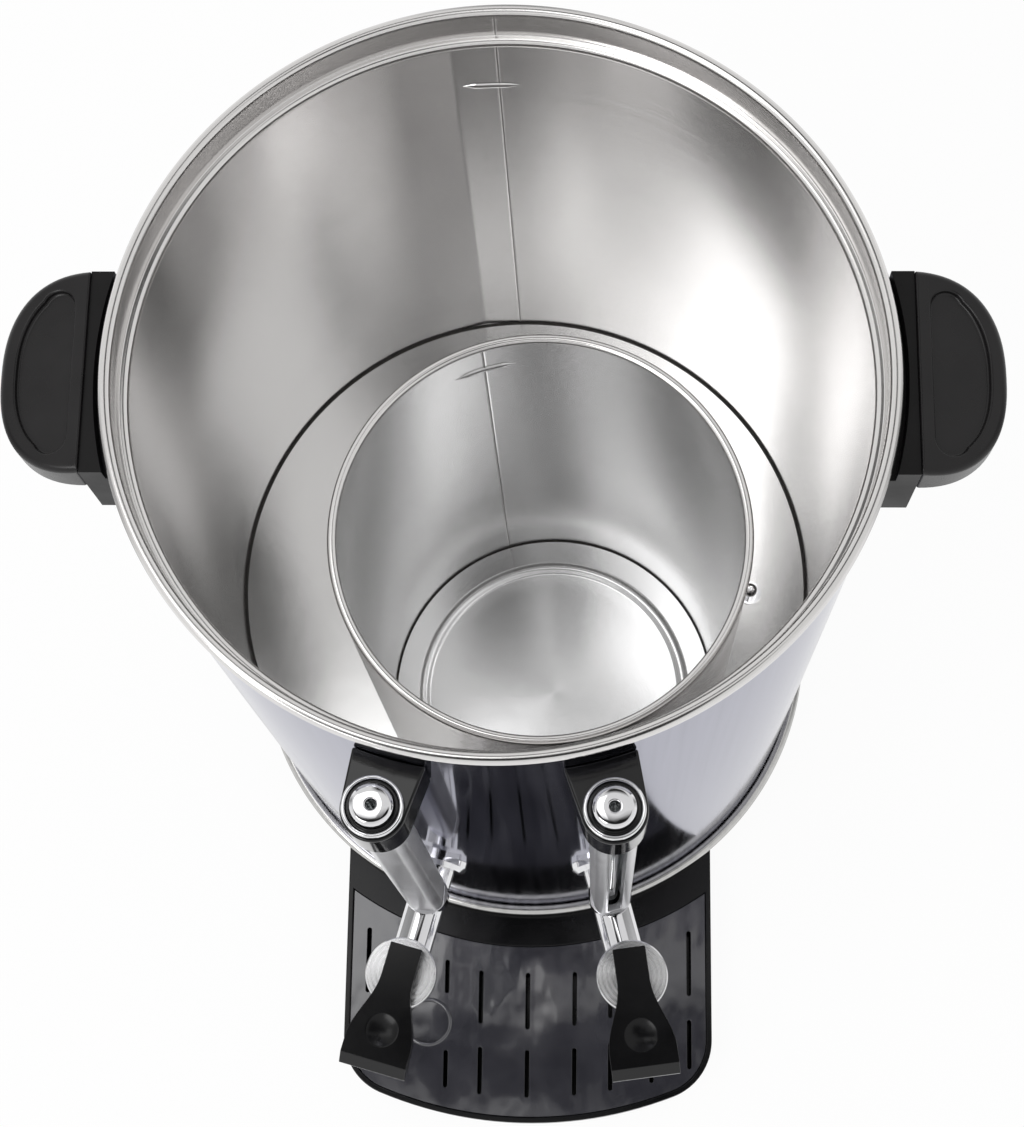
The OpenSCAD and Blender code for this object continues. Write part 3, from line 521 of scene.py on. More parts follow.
class Finishes:
    """Every finish of the samovar, made once."""

    def __init__(self, heads: dict[Side, Point], pot: Point) -> None:
        """Builds the materials.

        Args:
            heads: centre of each tap head.
            pot: centre of the tea pot.
        """
        self.mirror = MirrorSteel().make()
        self.bead = MirrorSteel("polished_bead", (0.60, 0.595, 0.585), (0.14, 0.24)).make()
        self.tank = SatinSteel("satin_tank").make()
        self.rim = SatinSteel("polished_rim", (0.80, 0.787, 0.778), (0.15, 0.23), anisotropy=0.3).make()
        self.floor = SatinSteel("satin_floor", (0.82, 0.815, 0.81), (0.15, 0.22), flat=True, anisotropy=0.35).make()
        self.pot = SatinSteel("satin_pot", (0.83, 0.828, 0.826), (0.19, 0.26), pot).make()
        self.pot_floor = SatinSteel("satin_pot_floor", (0.88, 0.88, 0.885), (0.16, 0.23), pot, True, 0.4).make()
        self.weld = SatinSteel("weld_bead", (0.30, 0.29, 0.28), (0.34, 0.46)).make()
        # Dark ring material for the wall-to-floor corners: painted shade of the gap there.
        self.joint = Plain("joint_line", (0.10, 0.095, 0.09), 0.55, 0.4).make()
        self.chrome = Chrome().make()
        self.guard = Chrome("satin_guard", (0.74, 0.74, 0.76), (0.29, 0.35)).make()
        self.turned = {side: TurnedDisc(f"turned_disc_{side.word}", head).make() for side, head in heads.items()}
        self.gloss = BlackPlastic("gloss_black", (0.0035, 0.0035, 0.004), level=0.4).make()
        self.lever = BlackPlastic("lever_black", (0.0030, 0.0030, 0.0034), (0.17, 0.23), level=0.24).make()
        self.tray = BlackPlastic("tray_black", (0.004, 0.004, 0.0045), (0.10, 0.18), level=0.25).make()
        self.grid = BlackPlastic("grid_black", (0.024, 0.024, 0.031), (0.12, 0.22),
                                 coat=1.0, wave=0.0019, level=0.7).make()
        self.satin = BlackPlastic("satin_black", (0.009, 0.0083, 0.0086), (0.36, 0.48),
                                  1500.0, 0.00005, level=0.28).make()
        self.grip = BlackPlastic("grip_black", (0.0062, 0.0056, 0.0060), (0.24, 0.34),
                                 1500.0, 0.00004, level=0.34).make()
        # Darker copy of the grip plastic for the handle brackets: painted shade of the zone between grip and shell.
        self.bracket = BlackPlastic("bracket_black", (0.004, 0.0037, 0.0039), (0.40, 0.50),
                                    1500.0, 0.00005, level=0.2).make()
        self.rubber = Plain("black_rubber", (0.022, 0.022, 0.022), 0.8, scale=400).make()
        self.glass = ClearGlass().make()
        self.strip = Plain("scale_strip", (0.82, 0.82, 0.80), 0.45, mottle=0.95).make()
        self.ink = Plain("scale_ink", (0.02, 0.02, 0.022), 0.5).make()
        self.paint = Plain("white_mark", (0.75, 0.75, 0.74), 0.5, mottle=0.92).make()
        self.lamp = Plain("lamp_lens", (0.72, 0.16, 0.03), 0.18, mottle=0.85, scale=60).make()
        self.cast = Plain("cast_aluminium", (0.62, 0.62, 0.63), 0.45, 1.0, scale=260).make()
        self.oxide = Plain("dark_oxide", (0.12, 0.11, 0.105), 0.5, 0.7, scale=200).make()
        self.ceramic = Plain("ceramic_body", (0.72, 0.69, 0.62), 0.55).make()


def dress(material: Material, *nodes: str) -> None:
    """Gives CAD nodes a finish.

    Args:
        material: the finish.
        nodes: names of the nodes.
    """
    for name in nodes:
        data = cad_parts[name].data
        data.materials.clear()
        data.materials.append(material)


def enlist(obj: Object, body: str, slot: Slot, node: str | None = None) -> None:
    """Enters a finished piece in the frame.

    Args:
        obj: the piece.
        body: the body that it rides on.
        slot: its material slot; not used.
        node: the CAD node that it replaces, if it does.
    """
    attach(obj, body)
    if node:
        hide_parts(node)


def to_object(name: str, mesh: Mesh, material: Material, sharp: float) -> Object:
    """Puts a mesh in the scene with smooth faces.

    Args:
        name: name of the object.
        mesh: its mesh, in place.
        material: its finish.
        sharp: edges above this angle, in degrees, stay sharp.

    Returns:
        The object.
    """
    mesh.materials.clear()
    mesh.materials.append(material)
    obj = bpy.data.objects.new(name, mesh)
    bpy.context.scene.collection.objects.link(obj)
    mesh.polygons.foreach_set("use_smooth", [True] * len(mesh.polygons))
    mesh.set_sharp_from_angle(angle=math.radians(sharp))
    return obj


def bake(obj: Object) -> None:
    """Applies an object's modifiers to its mesh.

    Args:
        obj: the object.
    """
    deps = bpy.context.evaluated_depsgraph_get()
    mesh = bpy.data.meshes.new_from_object(obj.evaluated_get(deps))
    obj.modifiers.clear()
    old, obj.data = obj.data, mesh
    bpy.data.meshes.remove(old)


def face_out(mesh: Mesh, merge: float = 0.0) -> None:
    """Turns the faces of a mesh outwards.

    Args:
        mesh: the mesh.
        merge: points closer than this, in metres, become one first; none do at 0.
    """
    bm = bmesh.new()
    bm.from_mesh(mesh)
    if merge:
        bmesh.ops.remove_doubles(bm, verts=bm.verts, dist=merge)
    bmesh.ops.recalc_face_normals(bm, faces=bm.faces)
    bm.to_mesh(mesh)
    bm.free()


@dataclass(frozen=True)
class Rounding:
    """How the edges of a moulded or cast piece are rounded."""

    width: float
    segments: int = 3
    flat: float = 0.8
    sharp: float = 30.0
    merge: float = 2e-6
    evenness: int = 50

    def mesh(self, node: str, weigh: Weigh | None) -> Mesh:
        """Copies a CAD node's mesh, with joined facets and a share of the rounding on each sharp edge.

        Args:
            node: the CAD node.
            weigh: share of the width for an edge; all sharp edges alike without it.

        Returns:
            The mesh.
        """
        bm = bmesh.new()
        bm.from_mesh(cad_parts[node].data)
        bmesh.ops.remove_doubles(bm, verts=bm.verts, dist=self.merge)
        bmesh.ops.dissolve_limit(bm, angle_limit=math.radians(self.flat), verts=bm.verts, edges=bm.edges)
        share = bm.edges.layers.float.new("bevel_weight_edge")
        for edge in bm.edges:
            sharp = len(edge.link_faces) == 2 and edge.calc_face_angle() > math.radians(self.sharp)
            edge[share] = (weigh(edge) if weigh else 1.0) if sharp else 0.0
            edge.smooth = True
        mesh = bpy.data.meshes.new(f"{node}_soft")
        bm.to_mesh(mesh)
        bm.free()
        return mesh

    def soften(self, node: str, material: Material, body: str, slot: Slot, weigh: Weigh | None = None) -> None:
        """Replaces a CAD node by the same shape with rounded edges and even shading.

        Args:
            node: the CAD node.
            material: its finish.
            body: the body that it rides on.
            slot: its material slot.
            weigh: share of the width for an edge; all sharp edges alike without it.
        """
        obj = to_object(f"{node}_soft", self.mesh(node, weigh), material, 180)
        bevel = obj.modifiers.new("edges", "BEVEL")
        bevel.width = self.width * MM
        bevel.segments = self.segments
        bevel.limit_method = "WEIGHT"
        bevel.use_clamp_overlap = True
        even = obj.modifiers.new("even", "WEIGHTED_NORMAL")
        even.mode = "FACE_AREA"
        even.weight = self.evenness
        bake(obj)
        enlist(obj, body, slot, node)


def loft(name: str, rows: Sequence[Sequence[Point]], material: Material, closed: bool = False) -> Object:
    """Joins rows of points into a tube of faces.

    Args:
        name: name of the object.
        rows: points in metres, each row as long as the others.
        material: the finish.
        closed: whether the last row joins the first.

    Returns:
        The object.
    """
    n, count = len(rows[0]), len(rows)
    faces = []
    for i in range(count if closed else count - 1):
        a, b = i * n, ((i + 1) % count) * n
        faces += [(a + j, a + (j + 1) % n, b + (j + 1) % n, b + j) for j in range(n)]
    if not closed:
        faces += [tuple(range(n - 1, -1, -1)), tuple(range((count - 1) * n, count * n))]
    mesh = bpy.data.meshes.new(name)
    mesh.from_pydata([p for row in rows for p in row], [], faces)
    face_out(mesh)
    return to_object(name, mesh, material, 50)


def arc(cx: float, cz: float, radius: float, start: float, end: float, steps: int) -> list[Pair]:
    """Points on an arc of a profile.

    Args:
        cx: distance of the centre from the axis in millimetres.
        cz: height of the centre in millimetres.
        radius: radius in millimetres.
        start: first angle in degrees.
        end: last angle in degrees.
        steps: number of steps.

    Returns:
        The points as distance and height.
    """
    turns = [math.radians(start + (end - start) * i / steps) for i in range(steps + 1)]
    return [(cx + radius * math.cos(a), cz + radius * math.sin(a)) for a in turns]


@dataclass(frozen=True)
class Round:
    """An upright axis in metres, with a round wall that may keep a faint crease of the rolled sheet."""

    centre: Point = ORIGIN
    segments: int = 288
    radius: float = 0.0
    crease: float = 0.0
    slope: float = 0.0
    reach: float = 0.16

    def point(self, angle: float, radius: float, z: float) -> Point:
        """A point around the axis.

        Args:
            angle: angle from the rear in degrees, positive to the right.
            radius: distance from the axis in millimetres.
            z: height in millimetres.

        Returns:
            The point in metres.
        """
        a = math.radians(angle)
        x, y = radius * MM * math.sin(a), radius * MM * math.cos(a)
        return (self.centre[0] + x, self.centre[1] + y, z * MM)

    def swell(self, angle: float) -> float:
        """Growth of the wall, which falls off with the square of the distance to the crease.

        Args:
            angle: angle from the rear in degrees.

        Returns:
            The growth of the radius in millimetres.
        """
        if not self.slope:
            return 0.0
        half = self.reach * self.radius
        away = math.radians(abs((angle - self.crease + 180) % 360 - 180)) * self.radius
        rest = max(0.0, half - away)
        return math.radians(self.slope) * rest * rest / (2 * half)

    def revolve(self, name: str, profile: Profile, material: Material) -> Object:
        """Turns a closed profile around the axis, with the turn as the U of its UV map.

        Args:
            name: name of the object.
            profile: distance from the axis and height, in millimetres.
            material: the finish.

        Returns:
            The object.
        """
        n, count = len(profile), self.segments
        verts, faces, uvs = [], [], []
        for i in range(count):
            angle, j = 90 - 360 * i / count, (i + 1) % count
            grow = self.swell(angle)
            verts += [self.point(angle, r + grow, z) for r, z in profile]
            for k in range(n):
                m = (k + 1) % n
                faces.append((i * n + k, j * n + k, j * n + m, i * n + m))
                u, v, du, dv = i / count, k / n, 1 / count, 1 / n
                uvs += [(u, v), (u + du, v), (u + du, v + dv), (u, v + dv)]
        mesh = bpy.data.meshes.new(name)
        mesh.from_pydata(verts, [], faces)
        layer = mesh.uv_layers.new(name="turn")
        for loop, uv in zip(layer.data, uvs):
            loop.uv = uv
        face_out(mesh, 1e-7)
        return to_object(name, mesh, material, 38)

    def turned(self, node: str, profile: Profile, material: Material, slot: Slot) -> None:
        """Replaces a round CAD node of the urn by a finely turned piece of the same shape.

        Args:
            node: the CAD node.
            profile: its profile.
            material: the finish.
            slot: its material slot.
        """
        enlist(self.revolve(f"{node}_turned", profile, material), "urn", slot, node)


class Repeat(Tree):
    """A Geometry Nodes tree that is set up once and turned into plain meshes."""

    def __init__(self, name: str) -> None:
        """Starts an empty tree with a geometry output.

        Args:
            name: name of the tree.
        """
        super().__init__(bpy.data.node_groups.new(name, "GeometryNodeTree"))
        self.tree.interface.new_socket("Geometry", in_out="OUTPUT", socket_type="NodeSocketGeometry")
        self.entry = self.add("NodeGroupInput")
        self.exit = self.add("NodeGroupOutput")
        self.sockets: dict[str, str] = {}

    def input(self, name: str, kind: str) -> Socket:
        """Adds a named input.

        Args:
            name: name of the input.
            kind: Float, Int, Vector or Material.

        Returns:
            The socket inside the tree.
        """
        item = self.tree.interface.new_socket(name, in_out="INPUT", socket_type=f"NodeSocket{kind}")
        self.sockets[name] = item.identifier
        return self.entry.outputs[name]

    def close(self, geometry: Socket) -> None:
        """Ends the tree in Realize Instances and Set Material.

        Args:
            geometry: the instances.
        """
        real = self.add("GeometryNodeRealizeInstances", {"Geometry": geometry})
        finish = self.input("Finish", "Material")
        paint = self.add("GeometryNodeSetMaterial", {"Geometry": real.outputs[0], "Material": finish})
        self.tree.links.new(paint.outputs[0], self.exit.inputs[0])

    def build(self, name: str, material: Material, place: Matrix, body: str, slot: Slot, **values: object) -> None:
        """Makes one piece from the tree.

        Args:
            name: name of the piece.
            material: its finish.
            place: where the tree's origin goes.
            body: the body that the piece rides on.
            slot: its material slot.
            values: inputs of the tree by name.
        """
        obj = bpy.data.objects.new(name, bpy.data.meshes.new(name))
        bpy.context.scene.collection.objects.link(obj)
        mod = obj.modifiers.new("repeat", "NODES")
        mod.node_group = self.tree
        for key, value in values.items():
            mod[self.sockets[key]] = value
        mod[self.sockets["Finish"]] = material
        bake(obj)
        obj.data.transform(place)
        obj.data.materials.clear()
        obj.data.materials.append(material)
        for poly in obj.data.polygons:
            poly.material_index = 0
        enlist(obj, body, slot)


def ladder() -> Repeat:
    """Tree of upright rows of small bars, such as the marks of a scale.

    Returns:
        The tree, with inputs Count, Pitch and Bar.
    """
    tree = Repeat("ladder_of_bars")
    count, pitch, bar = tree.input("Count", "Int"), tree.input("Pitch", "Float"), tree.input("Bar", "Vector")
    step = tree.add("ShaderNodeCombineXYZ", {"Z": pitch})
    line = tree.add("GeometryNodeMeshLine", {"Count": count, "Offset": step.outputs[0]}, mode="OFFSET")
    block = tree.add("GeometryNodeMeshCube", {"Size": bar})
    row = tree.add("GeometryNodeInstanceOnPoints", {"Points": line.outputs[0], "Instance": block.outputs[0]})
    tree.close(row.outputs[0])
    return tree


def dial() -> Repeat:
    """Tree of bars around a circle about Z, standing radially.

    Returns:
        The tree, with inputs Count, Radius, Sweep and Bar, whose sides are radial, axial and along the circle.
    """
    tree = Repeat("dial_of_bars")
    count, radius = tree.input("Count", "Int"), tree.input("Radius", "Float")
    sweep, bar = tree.input("Sweep", "Float"), tree.input("Bar", "Vector")
    path = tree.add("GeometryNodeCurveArc", {"Resolution": count, "Radius": radius, "Sweep Angle": sweep},
                    mode="RADIUS")
    points = tree.add("GeometryNodeCurveToPoints", {"Curve": path.outputs[0]}, mode="EVALUATED")
    block = tree.add("GeometryNodeMeshCube", {"Size": bar})
    row = tree.add("GeometryNodeInstanceOnPoints", {
        "Points": points.outputs["Points"], "Instance": block.outputs[0], "Rotation": points.outputs["Rotation"]})
    tree.close(row.outputs[0])
    return tree


@dataclass
class UrnBody:
    """Shell, tank, tea pot and base, in millimetres and in degrees from the rear."""

    tank_r: float = 150.0
    floor_z: float = 168.0
    floor_t: float = 2.0
    skirt: float = 8.0
    rim_z: float = 502.0
    seat_drop: float = 20.0
    seat_lap: float = 5.6
    seat_r: float = 150.9
    seat_bead: float = 2.6
    rim_r: float = 154.1
    roll_out: float = 2.6
    roll_in: float = 1.8
    sheet: float = 0.8
    foot_r: float = 158.0
    foot_z: float = 28.0
    foot_bead: float = 3.0
    pot_r: float = 83.2
    pot_off: float = 62.1
    pot_ang: float = 15.2
    pot_floor_z: float = 172.5
    pot_floor_t: float = 1.6
    pot_top: float = 474.0
    pot_lap: float = 4.8
    pot_bead: float = 1.9
    seam_ang: float = -1.6
    seam_drop: float = 3.2
    rim_seam_r: float = 151.5
    rim_seam_rise: float = 3.0
    rim_seam_drop: float = 4.0
    pot_seam_ang: float = -17.0
    crease_ang: float = -8.8
    crease_slope: float = 3.6
    pot_crease_slope: float = 0.9
    bead: Profile = ((-0.9, 0.0), (-0.3, 0.06), (0.1, 0.10), (0.5, 0.06), (0.9, 0.0), (0.0, -0.3))
    weld: Profile = ((-0.22, 0.08), (-0.08, 0.15), (0.08, 0.17), (0.22, 0.12), (0.22, -0.2), (-0.22, -0.2))
    mark_z: float = 444.0
    mark_ends: Pair = (-7.6, 1.8)
    pot_mark_drop: float = 30.0
    pot_mark_ends: Pair = (-26.0, -8.0)
    mark_tall: float = 1.9
    mark_deep: float = 1.0
    joint: float = 1.3
    pot_joint: float = 0.9
    ribs: int = 24
    rib: Point = (68.0, 1.2, 2.2)
    rib_r: float = 94.0
    rib_z: float = 4.6
    rib_sweep: float = 345.0

    @property
    def pot_centre(self) -> Point:
        """Centre of the tea pot in metres."""
        return from_front(self.pot_ang, self.pot_off)

    @property
    def seat_z(self) -> float:
        """Height of the lid seat."""
        return self.rim_z - self.seat_drop

    def seam(self, name: str, wall: Round, radius: float, angle: float, ends: Pair, finish: Finishes) -> None:
        """Lays an upright weld bead on the inside of a wall.

        Args:
            name: name of the seam.
            wall: the wall.
            radius: its radius at the seam in millimetres.
            angle: angle of the seam from the rear in degrees.
            ends: lowest and highest point in millimetres.
            finish: the finishes.
        """
        steps, (low, high) = 120, ends
        for part, section, paint in (("bead", self.bead, finish.tank), ("line", self.weld, finish.weld)):
            rows = []
            for i in range(steps + 1):
                z = low + (high - low) * i / steps
                wobble = 0.05 * math.sin(i * 2.1) + 0.04 * math.sin(i * 5.3)
                rows.append([wall.point(angle + math.degrees((w + wobble) / radius), radius - lift, z)
                             for w, lift in section])
            self.settle(loft(f"{name}_{part}", rows, paint))

    def line(self, name: str, wall: Round, ends: Pair, z: float, material: Material) -> None:
        """Presses a plain fill line into a wall.

        Args:
            name: name of the line.
            wall: the wall.
            ends: first and last angle from the rear in degrees.
            z: height in millimetres.
            material: the finish.
        """
        section = [(math.cos(math.radians(t)), math.sin(math.radians(t))) for t in range(0, 360, 30)]
        steps, (start, end) = 40, ends
        rows = []
        for i in range(steps + 1):
            share = min(1.0, 4 * min(i, steps - i) / steps + 0.12)
            angle = start + (end - start) * i / steps
            radius = wall.radius + wall.swell(angle)
            rows.append([wall.point(angle, radius - self.mark_deep * share * c, z + self.mark_tall * share * s)
                         for c, s in section])
        self.settle(loft(name, rows, material))

    def fillet(self, name: str, wall: Round, z: float, size: float, material: Material) -> None:
        """Runs a small dark ring along the joint of a wall and its floor, as painted shade of the gap in that corner.

        Args:
            name: name of the ring.
            wall: the wall.
            z: height of the floor in millimetres.
            size: width and height of the ring in millimetres.
            material: the finish.
        """
        gap, step = 0.02, 2
        section = [(0.0, 0.0), (size, 0.0), (size * 0.5, size * 0.18), (size * 0.18, size * 0.5), (0.0, size)]
        rows = [[wall.point(angle, wall.radius - gap - w, z + gap + h) for w, h in section]
                for angle in range(0, 360, step)]
        self.settle(loft(name, rows, material, closed=True))

    def settle(self, obj: Object) -> None:
        """Lets a piece ride on the urn."""
        enlist(obj, "urn", Slot.TANK)

    def wall_profile(self, radius: float, low: float, high: float) -> Profile:
        """Section of an upright wall of sheet."""
        out = radius + self.sheet
        return ((radius, low), (radius, high), (out, high), (out, low))

    def rim_profile(self) -> Profile:
        """Section of the lid seat, the recess and the rolled rim.

        Returns:
            The points as distance and height.
        """
        seat, roll, out = self.seat_z, self.rim_z - self.roll_out, self.tank_r + self.sheet
        low, under = seat - self.seat_lap, seat + 1.8
        return [(self.tank_r, low), *arc(self.tank_r + 0.4, seat, self.seat_bead, 261, 95, 30),
                *arc(self.seat_r, seat + 3.2, 0.6, -90, 0, 6), *arc(self.rim_r, roll, self.roll_out, 180, -90, 48),
                *arc(self.rim_r, roll, self.roll_in, -90, 180, 24), (self.rim_r - self.roll_in, under),
                (out, under), (out, low)]

    def floor_profile(self, edge: float) -> Profile:
        """Section of the tank's floor, up to the radius of its edge."""
        z, low = self.floor_z, self.floor_z - self.floor_t
        return [*((r, z) for r in range(0, 150, 10)), (edge, z), (edge, low), (0, low)]

    def foot_profile(self) -> Profile:
        """Section of the bead around the foot of the shell.

        Returns:
            The points as distance and height.
        """
        inner = self.foot_r - 10
        return [(inner, self.foot_z - self.foot_bead),
                *arc(self.foot_r, self.foot_z, self.foot_bead, -90, 210, 40), (inner, self.foot_z - 1.5)]

    def pot_profile(self) -> Profile:
        """Section of the tea pot's rim with its inward bead."""
        out, low, bead = self.pot_r + self.sheet, self.pot_top - self.pot_lap, self.pot_bead
        return [(self.pot_r, low), *arc(out - bead, self.pot_top - bead, bead, -54, -360, 40), (out, low)]

    def pot_floor_profile(self) -> Profile:
        """Section of the tea pot's floor with its softly pressed ring.

        Returns:
            The points as distance and height.
        """
        start, end, z = self.pot_r * 0.77, self.pot_r * 0.86, self.pot_floor_z
        steps, height = 24, 1.4
        ring = [(start + (end - start) * i / steps, z + height * math.sin(math.pi * i / steps) ** 2)
                for i in range(steps + 1)]
        low = z - self.pot_floor_t
        return [*((r, z) for r in range(0, 64, 8)), *ring, (self.pot_r, z), (self.pot_r, low), (0, low)]

    def build(self, finish: Finishes, ring: Repeat) -> None:
        """Dresses the body and adds its seams, marks, joints and base ribs.

        Args:
            finish: the finishes.
            ring: the tree of bars around a circle.
        """
        tank = Round(ORIGIN, 900, self.tank_r, self.crease_ang, self.crease_slope)
        pot = Round(self.pot_centre, 360, self.pot_r, self.pot_seam_ang, self.pot_crease_slope)
        axis, pot_axis = Round(), Round(self.pot_centre)
        seat, pot_wall = self.seat_z, self.pot_top - self.pot_lap
        wall = self.wall_profile(self.tank_r, self.floor_z - self.skirt, seat - self.seat_lap)
        edge = self.tank_r + tank.swell(tank.crease)
        dress(finish.mirror, "outer_shell")
        tank.turned("tank_wall", wall, finish.tank, Slot.TANK)
        axis.turned("rim_ring", self.rim_profile(), finish.rim, Slot.TANK)
        axis.turned("tank_floor", self.floor_profile(edge), finish.floor, Slot.TANK)
        axis.turned("bottom_ring", self.foot_profile(), finish.bead, Slot.SHELL)
        pot.turned("pot_wall", self.wall_profile(self.pot_r, self.floor_z, pot_wall), finish.pot, Slot.TANK)
        pot_axis.turned("pot_rim", self.pot_profile(), finish.rim, Slot.TANK)
        pot_axis.turned("pot_floor", self.pot_floor_profile(), finish.pot_floor, Slot.TANK)
        dress(finish.chrome, "floor_probe", "probe_nut", "base_screws")
        dress(finish.satin, "base_housing", "base_plate", "thermal_cutout")
        dress(finish.rubber, "base_feet")
        dress(finish.cast, "heater_plate")
        dress(finish.oxide, "heating_element")
        dress(finish.ceramic, "thermostat_body")
        self.seam("tank_seam", tank, self.tank_r + tank.swell(self.seam_ang), self.seam_ang,
                  (self.floor_z, seat - self.seam_drop), finish)
        self.seam("rim_seam", axis, self.rim_seam_r, self.seam_ang,
                  (seat + self.rim_seam_rise, self.rim_z - self.rim_seam_drop), finish)
        self.seam("pot_seam", pot, self.pot_r + pot.swell(self.pot_seam_ang), self.pot_seam_ang,
                  (self.pot_floor_z, self.pot_top - self.rim_seam_drop), finish)
        self.line("tank_fill_line", tank, self.mark_ends, self.mark_z, finish.tank)
        self.line("pot_fill_line", pot, self.pot_mark_ends, self.pot_top - self.pot_mark_drop, finish.pot)
        ring.build("base_ribs", finish.satin, shift(0.0, 0.0, self.rib_z), "urn", Slot.BLACK, Count=self.ribs,
                   Radius=self.rib_r * MM, Sweep=math.radians(self.rib_sweep), Bar=scaled(self.rib, MM))
        # Dark rings in the wall-to-floor corners of tank and pot: painted shade.
        self.fillet("tank_joint", tank, self.floor_z, self.joint, finish.joint)
        self.fillet("pot_joint", pot, self.pot_floor_z, self.pot_joint, finish.joint)


@dataclass
class Taps:
    """The two lever taps."""

    angle: float = 15.2
    head_u: float = 217.0
    tap_z: float = 190.0
    lever: Rounding = Rounding(0.7, 4, flat=0.05)

    def head(self, side: Side) -> Point:
        """Centre of a tap's head at the barrel's height, in metres."""
        return from_front(self.angle * side.value, self.head_u, self.tap_z)

    def build(self, finish: Finishes) -> None:
        """Dresses both taps.

        Args:
            finish: the finishes.
        """
        plated = ("tap_body", "tap_nut", "lever_pin", "valve_stem", "tap_flange")
        for side in Side:
            w = side.word
            self.lever.soften(f"tap_lever_{w}", finish.lever, f"lever_{w}", Slot.GLOSS)
            dress(finish.chrome, *(f"{node}_{w}" for node in plated))
            dress(finish.turned[side], f"tap_bonnet_{w}")
        dress(finish.rubber, "tap_spacers", "tap_seal_left", "pot_spacer", "pot_seal")


@dataclass
class LevelGauges:
    """The two level gauges with their scales, in millimetres and degrees."""

    marks: int = 41
    pitch: float = 5.0
    group: int = 5
    fine: float = 1.9
    bold: float = 3.6
    ink_deep: float = 0.12
    ink_tall: float = 0.55
    angle: float = 15.2
    gauge_u: float = 175.0
    turn: dict[Side, float] = field(default_factory=lambda: {Side.LEFT: -78.0, Side.RIGHT: 0.0})
    strip_x: float = -2.2
    strip_y: float = 4.75
    start_z: float = 222.0
    cap_r: float = 12.0
    cap_z: float = 474.0
    guard_z: float = 203.0
    guard_edge: float = 0.35
    guard: Rounding = Rounding(2.4, 6)
    bracket: Rounding = Rounding(1.2, 4)

    def place(self, side: Side) -> Matrix:
        """Frame of a scale strip: X across, -Y to the viewer, Z up.

        Args:
            side: the side of the gauge.

        Returns:
            The frame.
        """
        angle = self.angle * side.value
        spin = Matrix.Rotation(math.radians(angle + self.turn[side]), 4, "Z")
        return Matrix.Translation(from_front(angle, self.gauge_u)) @ spin

    def foot(self, side: Side) -> Weigh:
        """Rule that rounds the lower end of a guard more than its other edges.

        Args:
            side: the side of the gauge.

        Returns:
            The share of the full rounding for an edge.
        """
        axis = self.place(side).translation
        top, bore = (self.guard_z + 0.1) * MM, 7.5 * MM

        def share(edge: bmesh.types.BMEdge) -> float:
            """Full for the outline of the lower end, small for the rest.

            Args:
                edge: the edge.

            Returns:
                The share.
            """
            low = all(v.co.z < top for v in edge.verts)
            wide = all(math.hypot(v.co.x - axis.x, v.co.y - axis.y) > bore for v in edge.verts)
            return 1.0 if low and wide else self.guard_edge / self.guard.width
        return share

    def cap_profile(self) -> Profile:
        """Section of a cap: ring, groove, domed middle and vent.

        Returns:
            The points as distance and height.
        """
        z, r = self.cap_z, self.cap_r
        bore, vent = 5.2, 2.0
        return [(bore, z), *arc(r - 0.5, z + 0.5, 0.5, -90, 0, 4), *arc(r - 0.8, z + 4.2, 0.8, 0, 180, 12),
                *arc(r - 2.1, z + 2.5, 0.5, 0, -90, 4), *arc(r - 3.1, z + 2.5, 0.5, -90, -180, 4),
                *arc(r - 6.1, z + 7.5, 2.5, 0, 78, 12), (3.5, z + 10.0), *arc(2.8, z + 9.3, 0.7, 90, 165, 5),
                (vent, z + 8.8), (vent, z + 5.0), (bore, z + 5.0)]

    def groove_profile(self) -> Profile:
        """Section of the black ring that fills a cap's groove, as painted shade of the groove."""
        z, r = self.cap_z, self.cap_r
        return [(r - 3.55, z + 2.3), *arc(r - 2.6, z + 3.6, 0.93, 180, 0, 14), (r - 1.65, z + 2.3)]

    def build(self, finish: Finishes, bars: Repeat) -> None:
        """Dresses the gauges and rules their scales.

        Args:
            finish: the finishes.
            bars: the tree of upright rows of bars.
        """
        rows = (("fine", self.marks, self.pitch, self.fine),
                ("bold", self.marks // self.group + 1, self.pitch * self.group, self.bold))
        for side in Side:
            w, base = side.word, self.place(side)
            axis = Round(tuple(base.translation), 96)
            dress(finish.glass, f"gauge_glass_{w}")
            self.guard.soften(f"gauge_guard_{w}", finish.guard, "urn", Slot.CHROME, self.foot(side))
            self.bracket.soften(f"gauge_bracket_{w}", finish.gloss, "urn", Slot.GLOSS)
            axis.turned(f"gauge_cap_{w}", self.cap_profile(), finish.chrome, Slot.CHROME)
            # Black ring in the cap's groove: painted shade of the groove.
            enlist(axis.revolve(f"cap_groove_{w}", self.groove_profile(), finish.gloss), "urn", Slot.GLOSS)
            for name, count, pitch, wide in rows:
                start = base @ shift(self.strip_x + wide / 2, self.strip_y - 0.09, self.start_z)
                bars.build(f"scale_{name}_{w}", finish.ink, start, "urn", Slot.SCALE, Count=count,
                           Pitch=pitch * MM, Bar=(wide * MM, self.ink_deep * MM, self.ink_tall * MM))
        dress(finish.strip, "gauge_scales")
        dress(finish.rubber, "gauge_seals")


